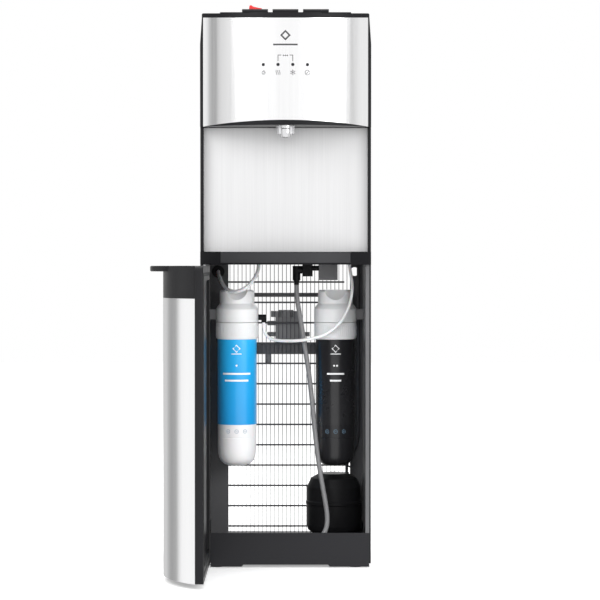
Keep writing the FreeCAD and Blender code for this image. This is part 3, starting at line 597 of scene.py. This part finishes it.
@dataclass
class Head:
    """The small parts of the bowed head: its print, indicator lenses and spout."""

    lens_z: float = 0.932
    lens_x: tuple[float, ...] = (-0.0405, -0.0135, 0.0135, 0.0405)
    lens_radius: float = 0.002
    lens_depth: float = 0.003
    lens_shoulder: float = 0.0003
    lens_crown: float = 0.0009
    lens_facets: int = 32
    lens_ring: Pair = (0.0031, 0.0011)
    symbol_drop: float = 0.0145
    symbol_size: float = 0.0052
    symbol_line: float = 0.28
    line: float = 0.0013
    bracket_rise: float = 0.0165
    bracket_foot: float = 0.006
    bracket_gap: float = 0.0075
    dot_pitch: float = 0.0035
    emblem_z: float = 0.9855
    emblem_reach: float = 0.0098
    emblem_width: float = 0.0042
    rule_half: float = 0.0225
    rule_drops: Pair = (0.0185, 0.0155)
    spout_y: float = -0.190
    print_lift: float = 0.00012

    def on_face(self, x: float, z: float) -> Point:
        """Return the point of the steel face at an X and a height, a hair proud."""
        return (x, bow_y(x, self.print_lift), z)

    def build(self) -> None:
        """Make and dress the print, the lenses and the spout."""
        self._print()
        self._lenses()
        self._spout()

    def _print(self) -> None:
        """Print the lozenge and rule, the bracket, the lens rings and the four symbols."""
        row_z = self.lens_z - self.symbol_drop
        bracket_z = self.lens_z + self.bracket_rise
        mid = self.lens_x[1:3]
        lines = (bar(mid[0], bracket_z, -self.bracket_gap, bracket_z + self.line)
                 + bar(self.bracket_gap, bracket_z, mid[1], bracket_z + self.line))
        for x in mid:
            lines += bar(x - self.line / 2, self.lens_z + self.bracket_foot, x + self.line / 2,
                         bracket_z + self.line)
        for x in (-self.dot_pitch, 0.0, self.dot_pitch):
            lines += ring_band((x, bracket_z), self.line, self.line)
        rule_low, rule_high = self.rule_drops
        emblem = (lozenge((0.0, self.emblem_z), self.emblem_reach, self.emblem_width)
                  + bar(-self.rule_half, self.emblem_z - rule_low,
                        self.rule_half, self.emblem_z - rule_high))
        for x in self.lens_x:
            emblem += ring_band((x, self.lens_z), *self.lens_ring)
        place_piece(print_piece("head_print", lines + emblem, self.on_face), PRINT_BLACK,
                    "cabinet", "lens")
        scale = self.symbol_size
        thin = scale * self.symbol_line
        symbols = (sun_symbol((self.lens_x[0], row_z), scale)
                   + wave_symbol((self.lens_x[1], row_z), scale * 0.8)
                   + flake_symbol((self.lens_x[2], row_z), scale)
                   + ring_band((self.lens_x[3], row_z), scale, thin)
                   + stroke((self.lens_x[3] - scale * 0.5, row_z - scale * 0.5),
                            (self.lens_x[3] + scale * 0.5, row_z + scale * 0.5), thin))
        place_piece(print_piece("head_symbols", symbols, self.on_face), PRINT_GREY, "cabinet",
                    "lens")

    def _lenses(self) -> None:
        """Set a domed lens in each indicator hole."""
        quarter = Matrix.Rotation(math.radians(90), 3, "X")
        profile = rounded([(0.0, -self.lens_depth, 0), (self.lens_radius, -self.lens_depth, 0),
                           (self.lens_radius, self.lens_shoulder, 0.0004),
                           (0.0, self.lens_crown, 0)])
        bodies = [lathe(f"indicator_lens_{index}", profile, (x, bow_y(x), self.lens_z),
                        self.lens_facets, quarter)
                  for index, x in enumerate(self.lens_x, start=1)]
        for lens in bodies[1:]:
            place_piece(lens, SMOKED_LENS, "cabinet", "lens")
        place_piece(bodies[0], SMOKED_LENS, "cabinet", "lens", "indicator_lenses")

    def _spout(self) -> None:
        """Turn the chrome spout with a rolled mouth and an inner strainer."""
        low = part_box("spout_nozzle")[0][2]
        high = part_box("spout_nozzle")[1][2]
        profile = rounded([(0.0058, high, 0), (0.0058, low + 0.004, 0.001),
                           (0.0075, low, 0.0012), (0.0098, low, 0.0014),
                           (0.0118, low + 0.007, 0.003), (0.0118, low + 0.016, 0.0004),
                           (0.0112, low + 0.0168, 0.0004), (0.0118, low + 0.0176, 0.0004),
                           (0.0118, high - 0.003, 0.0002), (0.0158, high - 0.003, 0.0004),
                           (0.0158, high, 0.0004), (0.0058, high, 0)])
        place_piece(lathe("spout", profile, (0.0, self.spout_y, 0.0)), CHROME, "cabinet", "chrome",
                    "spout_nozzle")


@dataclass
class Cartridge:
    """One filter cartridge: bowl, printed sleeve, ribbed collar and its print."""

    side: str
    x: float
    sleeve: PrintedSleeve
    slot: str
    dots: int
    rule_halves: Pair
    y: float = 0.020
    bowl_radius: float = 0.0374
    sleeve_radius: float = 0.0380
    sleeve_inner: float = 0.0371
    sleeve_low: float = 0.258
    sleeve_facets: int = 128
    print_lift: float = 0.00015
    collar_low: float = 0.423
    parting: float = 0.4544
    neck_radius: float = 0.030
    neck_high: float = 0.466
    ribs: int = 60
    rib_radius: float = 0.0407
    rib_size: Point = (0.0016, 0.0006, 0.018)
    rib_z: float = 0.438
    emblem_z: float = 0.4045
    emblem_reach: float = 0.0078
    emblem_width: float = 0.002
    emblem_rule_half: float = 0.010
    emblem_rule: Pair = (0.3936, 0.3952)
    dots_z: float = 0.372
    dot_pitch: float = 0.0058
    dot_radius: float = 0.0019
    rule_heights: tuple[Pair, ...] = ((0.3545, 0.3580), (0.3415, 0.3450))
    mark_z: float = 0.2455
    mark_pitch: float = 0.0165
    mark_ring: Pair = (0.0038, 0.0007)
    mark_bar_half: float = 0.0017
    mark_bar: Pair = (0.2452, 0.2458)

    def on_sleeve(self, around: float, z: float) -> Point:
        """Return the point of the sleeve at an arc length from its front and a height."""
        radius = self.sleeve_radius + self.print_lift
        turn = around / radius
        return (self.x + radius * math.sin(turn), self.y - radius * math.cos(turn), z)

    def build(self) -> None:
        """Make and dress the cartridge."""
        body = f"{self.side}_cartridge"
        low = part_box(f"filter_cartridge_{self.side}")[0][2]
        centre = (self.x, self.y, 0.0)
        foot = self.collar_low - 0.001
        bowl = rounded([(0.0, low, 0), (0.016, low, 0.004), (0.0285, low + 0.004, 0.008),
                        (0.0358, low + 0.016, 0.012), (self.bowl_radius, low + 0.034, 0.012),
                        (self.bowl_radius, 0.232, 0.0003), (0.0369, 0.2326, 0.0003),
                        (self.bowl_radius, 0.2334, 0.0003),
                        (self.bowl_radius, foot, 0.0005), (0.0, foot, 0)])
        finish = MOULDED_WHITE if self.side == "left" else BOWL_DARK
        place_piece(lathe(f"filter_bowl_{self.side}", bowl, centre), finish, body, self.slot,
                    f"filter_cartridge_{self.side}")
        collar = rounded([(0.0, foot, 0), (0.0384, foot, 0.0005), (0.0396, foot + 0.0015, 0.001),
                          (0.0408, foot + 0.004, 0.0012), (0.0408, self.parting, 0.0008),
                          (self.neck_radius, self.parting, 0.0005),
                          (self.neck_radius, self.neck_high, 0.001), (0.0, self.neck_high, 0)])
        place_piece(lathe(f"filter_collar_{self.side}", collar, centre), COLLAR_WHITE, body,
                    "white_plastic")
        radius = self.sleeve_radius
        wrap = rounded([(self.sleeve_inner, self.sleeve_low, 0),
                        (radius, self.sleeve_low, 0.0003), (radius, foot, 0.0003),
                        (self.sleeve_inner, foot, 0)])
        place_piece(lathe(f"filter_sleeve_{self.side}", wrap, centre, self.sleeve_facets),
                    self.sleeve, body, self.slot)
        self._ribs(body)
        self._print(body)

    def _ribs(self, body: str) -> None:
        """Run grip ribs round the collar's skirt."""
        ribs = ring_of_ribs(f"filter_grip_{self.side}", count=self.ribs, radius=self.rib_radius,
                            size=self.rib_size, centre=(self.x, self.y, self.rib_z),
                            finish=COLLAR_WHITE)
        place_piece(ribs, COLLAR_WHITE, body, self.slot)

    def _print(self, body: str) -> None:
        """Print a lozenge, plain rules for the words and the stage's dots."""
        white = lozenge((0.0, self.emblem_z), self.emblem_reach, self.emblem_width)
        white += bar(-self.emblem_rule_half, self.emblem_rule[0],
                     self.emblem_rule_half, self.emblem_rule[1])
        for index in range(self.dots):
            spot = ((index - (self.dots - 1) / 2) * self.dot_pitch, self.dots_z)
            white += ring_band(spot, self.dot_radius, self.dot_radius)
        for half, (low, high) in zip(self.rule_halves, self.rule_heights):
            white += bar(-half, low, half, high)
        place_piece(print_piece(f"filter_print_{self.side}", white, self.on_sleeve), PRINT_WHITE,
                    body, "white_plastic")
        marks: list[Patch] = []
        for index in range(3):
            middle = (index - 1) * self.mark_pitch
            marks += ring_band((middle, self.mark_z), *self.mark_ring)
            marks += bar(middle - self.mark_bar_half, self.mark_bar[0],
                         middle + self.mark_bar_half, self.mark_bar[1])
        place_piece(print_piece(f"filter_marks_{self.side}", marks, self.on_sleeve),
                    PRINT_SLATE, body, "white_plastic")


# ---------------------------------------------------------------- geometry nodes

class Repeater:
    """A Geometry Nodes tree that places one small shape many times."""

    def __init__(self, name: str, finish: Finish) -> None:
        """Start a tree.

        Args:
            name: The tree's and the result's name.
            finish: What the result is made of.
        """
        self.name = name
        self.finish = finish
        self.tree = bpy.data.node_groups.new(name, "GeometryNodeTree")
        self.tree.interface.new_socket(name="Geometry", in_out="OUTPUT",
                                       socket_type="NodeSocketGeometry")
        self.leave = self.tree.nodes.new("NodeGroupOutput")
        self.entry = self.tree.nodes.new("NodeGroupInput")
        self.values: dict[str, object] = {}

    def size(self, name: str, kind: str, value: object) -> bpy.types.NodeSocket:
        """Add a named input, remember its value and return its socket in the tree."""
        self.tree.interface.new_socket(name=name, in_out="INPUT", socket_type=kind)
        self.values[name] = value
        return self.entry.outputs[name]

    def node(self, kind: str, **links: object) -> bpy.types.Node:
        """Add a node, link or set its inputs, and return it.

        Args:
            kind: The node's type.
            links: Input names, with _ for a space, to sockets or values.
        """
        node = self.tree.nodes.new(kind)
        for key, value in links.items():
            socket = node.inputs[key.replace("_", " ")]
            if isinstance(value, bpy.types.NodeSocket):
                self.tree.links.new(value, socket)
            else:
                socket.default_value = value
        return node

    def bake(self, geometry: bpy.types.NodeSocket) -> bpy.types.Object:
        """End the tree, evaluate it and return the plain, flat-shaded mesh it makes.

        Args:
            geometry: The instances to realise.
        """
        real = self.node("GeometryNodeRealizeInstances", Geometry=geometry)
        shade = self.node("GeometryNodeSetShadeSmooth", Geometry=real.outputs["Geometry"],
                          Shade_Smooth=False)
        coat = self.node("GeometryNodeSetMaterial", Geometry=shade.outputs["Geometry"],
                         Material=self.finish.build())
        self.tree.links.new(coat.outputs["Geometry"], self.leave.inputs["Geometry"])
        carrier = bpy.data.objects.new(self.name + "_maker", bpy.data.meshes.new("empty"))
        bpy.context.scene.collection.objects.link(carrier)
        maker = carrier.modifiers.new("repeat", "NODES")
        maker.node_group = self.tree
        for item in self.tree.interface.items_tree:
            if item.in_out == "INPUT":
                maker[item.identifier] = self.values[item.name]
        graph = bpy.context.evaluated_depsgraph_get()
        mesh = bpy.data.meshes.new_from_object(carrier.evaluated_get(graph), depsgraph=graph)
        mesh.name = self.name
        bpy.data.objects.remove(carrier)
        piece = bpy.data.objects.new(self.name, mesh)
        bpy.context.scene.collection.objects.link(piece)
        return piece


def ring_of_ribs(name: str, count: int, radius: float, size: Point, centre: Point,
                 finish: Finish) -> bpy.types.Object:
    """Stand thin ribs round a circle.

    Args:
        name: The piece's name.
        count: Ribs around.
        radius: Where the middle of each rib is.
        size: Each rib's width, depth and height.
        centre: The circle's centre.
        finish: The ribs' finish.

    Returns:
        One mesh of all the ribs.
    """
    maker = Repeater(name, finish)
    ring = maker.node("GeometryNodeMeshCircle",
                      Vertices=maker.size("Count", "NodeSocketInt", count),
                      Radius=maker.size("Radius", "NodeSocketFloat", radius))
    rib = maker.node("GeometryNodeMeshCube",
                     Size=maker.size("Rib", "NodeSocketVector", size))
    step = maker.node("GeometryNodeInputIndex")
    turn = maker.node("ShaderNodeMath")
    turn.operation = "MULTIPLY"
    maker.tree.links.new(step.outputs[0], turn.inputs[0])
    turn.inputs[1].default_value = math.tau / count
    shifted = maker.node("ShaderNodeMath")
    shifted.operation = "ADD"
    maker.tree.links.new(turn.outputs[0], shifted.inputs[0])
    shifted.inputs[1].default_value = math.pi / 2
    spin = maker.node("ShaderNodeCombineXYZ", Z=shifted.outputs[0])
    placed = maker.node("GeometryNodeInstanceOnPoints", Points=ring.outputs["Mesh"],
                        Instance=rib.outputs["Mesh"])
    rotation = maker.node("FunctionNodeEulerToRotation", Euler=spin.outputs[0])
    maker.tree.links.new(rotation.outputs[0], placed.inputs["Rotation"])
    moved = maker.node("GeometryNodeTransform", Geometry=placed.outputs["Instances"],
                       Translation=maker.size("Centre", "NodeSocketVector", centre))
    return maker.bake(moved.outputs["Geometry"])


@dataclass
class Condenser:
    """The wire-on-tube condenser: a serpentine tube with wires across it."""

    runs: int = 13
    pitch: float = 0.0401
    low: float = 0.0502
    half: float = 0.134
    y: float = 0.110
    tube_radius: float = 0.0019
    wire_radius: float = 0.0006
    wire_pitch: float = 0.00795
    wires: int = 33
    wire_low: float = 0.0365
    wire_high: float = 0.580
    tube_facets: int = 10
    wire_facets: int = 8
    bend_steps: int = 12

    def build(self) -> None:
        """Make and dress the tube and the wires."""
        tube = tube_mesh("condenser_serpentine", self._route(), self.tube_radius,
                         self.tube_facets)
        place_piece(tube, WIRE_ENAMEL, "cabinet", "condenser_black", "condenser_tube")
        place_piece(self._wires(), WIRE_ENAMEL, "cabinet", "condenser_black", "condenser_wires")

    def _route(self) -> list[Point]:
        """Return the tube's path: level runs joined by round returns at alternate ends."""
        bend = self.pitch / 2
        path: list[Point] = []
        for run in range(self.runs):
            side = 1 if run % 2 == 0 else -1
            z = self.low + run * self.pitch
            path.append((-side * (self.half - bend), self.y, z))
            path.append((side * (self.half - bend), self.y, z))
            if run == self.runs - 1:
                continue
            for step in range(1, self.bend_steps):
                turn = math.pi * step / self.bend_steps
                path.append((side * (self.half - bend + bend * math.sin(turn)), self.y,
                             z + bend - bend * math.cos(turn)))
        return path

    def _wires(self) -> bpy.types.Object:
        """Stand the wires in a row behind the tube."""
        maker = Repeater("condenser_grid", WIRE_ENAMEL)
        row_y = self.y + self.tube_radius + self.wire_radius
        count = maker.size("Wires", "NodeSocketInt", self.wires)
        radius = maker.size("Wire radius", "NodeSocketFloat", self.wire_radius)
        start = maker.size("Start", "NodeSocketVector",
                           (-(self.wires - 1) / 2 * self.wire_pitch, row_y,
                            (self.wire_low + self.wire_high) / 2))
        pitch = maker.size("Pitch", "NodeSocketVector", (self.wire_pitch, 0.0, 0.0))
        row = maker.node("GeometryNodeMeshLine", Count=count, Start_Location=start, Offset=pitch)
        wire = maker.node("GeometryNodeMeshCylinder", Vertices=self.wire_facets, Radius=radius,
                          Depth=self.wire_high - self.wire_low)
        placed = maker.node("GeometryNodeInstanceOnPoints", Points=row.outputs["Mesh"],
                            Instance=wire.outputs["Mesh"])
        return maker.bake(placed.outputs["Instances"])


def tube_mesh(name: str, path: Sequence[Point], radius: float, facets: int) -> bpy.types.Object:
    """Sweep a round tube along a path.

    Args:
        name: The object's name.
        path: The points it passes.
        radius: The tube's radius.
        facets: Facets around.

    Returns:
        A closed mesh.
    """
    curve = bpy.data.curves.new(name, "CURVE")
    curve.dimensions = "3D"
    curve.bevel_depth = radius
    curve.bevel_resolution = max(0, facets // 4 - 1)
    curve.use_fill_caps = True
    spline = curve.splines.new("POLY")
    spline.points.add(len(path) - 1)
    for point, spot in zip(spline.points, path):
        point.co = (*spot, 1.0)
    carrier = bpy.data.objects.new(name + "_maker", curve)
    bpy.context.scene.collection.objects.link(carrier)
    mesh = bpy.data.meshes.new_from_object(carrier)
    mesh.name = name
    bpy.data.objects.remove(carrier)
    for face in mesh.polygons:
        face.use_smooth = True
    piece = bpy.data.objects.new(name, mesh)
    bpy.context.scene.collection.objects.link(piece)
    return piece


@dataclass
class Hose:
    """A free hose: its route, its outer diameter and what it ends in."""

    name: str
    node: str
    route: tuple[Point, ...]
    diameter: float
    length: float
    finish: Finish
    slot: str
    far_end: str = "object"
    stiffness: str = "limp"
    on_it: tuple[str, ...] = field(default_factory=tuple)

    def build(self) -> None:
        curve = bpy.data.curves.new(self.name, "CURVE")
        curve.dimensions = "3D"
        curve.resolution_u = 12
        curve.bevel_depth = self.diameter / 2
        curve.bevel_resolution = 6
        curve.use_fill_caps = True
        spline = curve.splines.new("NURBS")
        spline.points.add(len(self.route) - 1)
        for point, spot in zip(spline.points, self.route):
            point.co = (*[value * MM for value in spot], 1.0)
        spline.order_u = 3
        spline.use_endpoint_u = True
        hose = bpy.data.objects.new(self.name, curve)
        bpy.context.scene.collection.objects.link(hose)
        place_piece(hose, self.finish, "cabinet", self.slot, self.node)


# Each route is in millimetres, from the end that leaves the machine's wall or fitting.
SUPPLY_HOSE = Hose("supply_line", "supply_hose",
                   ((-134, 99, 552), (-134, 80, 552), (-132.5, 58, 548), (-129, 37, 540),
                    (-124, 16, 530), (-117, -5, 521), (-107, -24, 515), (-92, -38, 514),
                    (-75, -42, 522), (-62, -37, 536), (-54, -28, 551), (-52, -21, 566),
                    (-52, -21, 578)), 0.007, 0.2394, TUBE_WHITE, "white_tube")
LINK_HOSE = Hose("link_line", "link_hose",
                 ((-43.5, 20, 454), (-43.5, 20, 443), (-40, 17.5, 431), (-31.5, 11.5, 423),
                  (-17, 1.5, 419.5), (5, -11.5, 419), (30, -24, 420.5), (54, -34, 425),
                  (76, -41.5, 433), (95, -45, 446), (111, -45, 465), (122, -42, 490),
                  (127, -37.5, 517), (125, -32, 542), (121, -28, 562), (121, -28, 578)),
                 0.006, 0.3236, TUBE_WHITE, "white_tube")
SUCTION_HOSE = Hose("suction_line", "suction_hose",
                    ((20, 10, 527), (20, 10, 503), (28, 4, 460), (36, -5, 408), (45, -13, 350),
                     (51, -20, 292), (56, -27, 238), (62, -36, 188), (69, -47, 148),
                     (75, -61, 115), (79, -76, 88), (77, -92, 67), (67, -105, 52),
                     (49, -110, 43.5), (25, -110, 43.5)), 0.009, 0.546, TUBE_GREY, "grey_tube",
                    far_end="fitting", on_it=("probe_tip",))


# ---------------------------------------------------------------- finishes of the frame

NODE_FINISH: dict[str, Finish] = {
    "alcove_back_panel": ALCOVE_STEEL, "head_steel_panel": STEEL, "door_steel_skin": STEEL,
    "alcove_cheeks": SATIN_BLACK, "head_shell": SATIN_BLACK, "top_cover": SATIN_BLACK,
    "cold_paddle": SATIN_BLACK, "room_paddle": SATIN_BLACK, "hot_paddle": SATIN_BLACK,
    "door_top_cap": DOOR_BLACK, "door_liner": DOOR_BLACK, "door_bottom_trim": DOOR_BLACK,
    "tray_shelf": SHELF_BLACK, "drip_tray": TRAY_GREY, "drip_grille": TRAY_BLACK,
    "base_pan": TRAY_BLACK, "left_side_panel": SHEET_BLACK, "right_side_panel": SHEET_BLACK,
    "left_liner": LINER_DARK, "right_liner": LINER_DARK, "mid_deck": LINER_DARK,
    "rear_rails": RAIL_GREY, "rear_panel": ZINC, "compressor": SHEET_BLACK,
    "valve_block": VALVE_GREY, "water_pump": PUMP_GREY, "pump_elbow": SATIN_BLACK,
    "hose_fittings": SATIN_BLACK, "filter_head_left": COLLAR_WHITE,
    "filter_head_right": COLLAR_WHITE, "hot_safety_latch": LOCK_RED, "hot_rocker": LOCK_RED,
    "cold_rocker": SATIN_BLACK, "light_rocker": SATIN_BLACK, "rocker_frames": SATIN_BLACK,
    "cold_tank": STAINLESS, "hot_tank": STAINLESS, "hinge_brackets": STAINLESS,
    "paddle_rod": STAINLESS, "rear_screws": STAINLESS, "probe_tip": STAINLESS,
    "tank_insulation": FOAM, "control_boards": BOARD, "refrigerant_line": WIRE_ENAMEL,
    "rubber_feet": RUBBER, "door_gasket": RUBBER, "power_gland": RUBBER,
    "drain_cap": SATIN_BLACK, "drain_spigot": MOULDED_WHITE, "water_inlet": MOULDED_WHITE,
    "spout_housing": SPOUT_GREY,
}


def dress_frame() -> None:
    """Give every carried-over CAD node its finish."""
    for name, finish in NODE_FINISH.items():
        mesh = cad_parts[name].data
        mesh.materials.clear()
        mesh.materials.append(finish.build())


# ---------------------------------------------------------------- studio

# How bright the studio's walls are, by azimuth in degrees: 0 is towards -Y, the object's
# front, 90 is towards +X, and the two ends meet behind it.
STUDIO_WALLS = ((-180, 0.65), (-148, 0.65), (-138, 0.35), (-122, 0.35), (-115, 1.0), (-88, 1.0),
                (-84, 0.25), (-76, 0.25), (-74, 0.75), (-56, 0.75), (-54, 1.0), (50, 1.0),
                (54, 0.88), (60, 0.88), (62, 0.95), (67, 0.6), (75, 0.6), (80, 0.88),
                (92, 0.88), (100, 0.8), (180, 0.8))


@dataclass
class Studio:
    """The pale floor, the walls, the soft lights and the camera."""

    camera_x: float = 0.0267
    front_y: float = -0.145
    distance: float = 4.5
    eye_z: float = 0.571
    aim_z: float = 0.500
    lens: float = 144.85
    sensor: float = 36.0
    sight: float = 50.0
    middle: Point = (0.0, -0.05, 0.55)
    floor_half: float = 9.0
    floor_glow: float = 0.35

    def build(self) -> None:
        """Set up the whole studio."""
        self._floor()
        self._world()
        self._light("key_left", (-1.7, -2.3, 2.2), side=1.6, watts=38.0)
        self._light("fill_right", (2.0, -2.2, 1.4), side=1.8, watts=22.0)
        self._light("top_soft", (0.0, -0.2, 3.0), side=2.2, watts=34.0)
        self._light("back_soft", (0.6, 2.4, 1.9), side=2.0, watts=26.0)
        self._light("front_left", (-0.7, -4.3, 1.3), side=1.4, watts=72.0, mirrored=False)
        self._light("front_right", (2.4, -3.9, 1.5), side=1.4, watts=74.0, mirrored=False)
        self._camera()

    def _floor(self) -> None:
        """Lay a wide pale floor that glows a little and stays out of reflections."""
        bm = bmesh.new()
        half = self.floor_half
        corners = [(-half, -half, 0.0), (half, -half, 0.0), (half, half, 0.0), (-half, half, 0.0)]
        bm.faces.new([bm.verts.new(corner) for corner in corners])
        mesh = bpy.data.meshes.new("floor")
        bm.to_mesh(mesh)
        bm.free()
        floor = bpy.data.objects.new("floor", mesh)
        bpy.context.scene.collection.objects.link(floor)
        paint = Finish("floor_paint", (0.9, 0.9, 0.9), 0.7, Grain.PAINTED, tint=0.01, bump=0.0,
                       round_edge=0.0)
        material = paint.build()
        shader = material.node_tree.nodes["Principled BSDF"]
        shader.inputs["Emission Color"].default_value = (1.0, 1.0, 1.0, 1.0)
        shader.inputs["Emission Strength"].default_value = self.floor_glow
        mesh.materials.append(material)
        floor.visible_glossy = False

    def _world(self) -> None:
        """Surround the object with a white studio that has grey and dark side walls."""
        world = bpy.data.worlds.new("studio")
        world.use_nodes = True
        tree = world.node_tree
        tree.nodes.clear()
        place = tree.nodes.new("ShaderNodeTexCoord")
        split = tree.nodes.new("ShaderNodeSeparateXYZ")
        tree.links.new(place.outputs["Generated"], split.inputs[0])
        turn = math_node(tree, "ARCTAN2", split.outputs["X"],
                         math_node(tree, "MULTIPLY", split.outputs["Y"], -1.0))
        share = math_node(tree, "MULTIPLY_ADD", turn, 1.0 / math.tau, 0.5)
        ramp = tree.nodes.new("ShaderNodeValToRGB")
        elements = ramp.color_ramp.elements
        for index, (azimuth, level) in enumerate(STUDIO_WALLS):
            spot = 0.5 + azimuth / 360
            element = elements[index] if index < 2 else elements.new(spot)
            element.position = spot
            element.color = (level, level, level, 1.0)
        tree.links.new(share, ramp.inputs["Fac"])
        walls_light = tree.nodes.new("ShaderNodeBackground")
        tree.links.new(ramp.outputs["Color"], walls_light.inputs["Color"])
        walls_light.inputs["Strength"].default_value = 1.0
        plain = tree.nodes.new("ShaderNodeBackground")
        plain.inputs["Color"].default_value = (1.0, 1.0, 1.0, 1.0)
        ray = tree.nodes.new("ShaderNodeLightPath")
        mix = tree.nodes.new("ShaderNodeMixShader")
        tree.links.new(ray.outputs["Is Camera Ray"], mix.inputs["Fac"])
        tree.links.new(walls_light.outputs[0], mix.inputs[1])
        tree.links.new(plain.outputs[0], mix.inputs[2])
        leave = tree.nodes.new("ShaderNodeOutputWorld")
        tree.links.new(mix.outputs[0], leave.inputs["Surface"])
        bpy.context.scene.world = world
        bpy.context.scene.view_settings.view_transform = "Standard"

    def _light(self, name: str, spot: Point, side: float, watts: float,
               mirrored: bool = True) -> None:
        """Hang one square soft light that faces the middle of the object.

        Args:
            name: The light's name.
            spot: Where it hangs.
            side: Its width and height.
            watts: Its power.
            mirrored: Whether it shows in reflections.
        """
        data = bpy.data.lights.new(name, "AREA")
        data.size = side
        data.energy = watts
        lamp = bpy.data.objects.new(name, data)
        lamp.location = spot
        lamp.visible_glossy = mirrored
        aim = Vector(self.middle) - Vector(spot)
        lamp.rotation_euler = aim.to_track_quat("-Z", "Y").to_euler()
        bpy.context.scene.collection.objects.link(lamp)

    def _camera(self) -> None:
        """Stand the camera far off, level with the compartment's top."""
        data = bpy.data.cameras.new("camera")
        data.lens = self.lens
        data.sensor_width = self.sensor
        data.clip_end = self.sight
        camera = bpy.data.objects.new("camera", data)
        camera.location = (self.camera_x, self.front_y - self.distance, self.eye_z)
        aim = Vector((self.camera_x, self.front_y, self.aim_z)) - camera.location
        camera.rotation_euler = aim.to_track_quat("-Z", "Y").to_euler()
        bpy.context.scene.collection.objects.link(camera)
        bpy.context.scene.camera = camera


def main() -> None:
    """Build the studio and every sub-assembly in order."""
    logging.basicConfig(level=logging.INFO, format="%(name)s %(message)s")
    Studio().build()
    for hose in (SUPPLY_HOSE, LINK_HOSE, SUCTION_HOSE):
        hose.build()
    dress_frame()
    Head().build()
    Cartridge("left", -FILTER_X, BLUE_SLEEVE, "blue_label", 1, (0.029, 0.024)).build()
    Cartridge("right", FILTER_X, BLACK_SLEEVE, "black_label", 2, (0.017, 0.011)).build()
    Condenser().build()


if __name__ == "__main__":
    main()
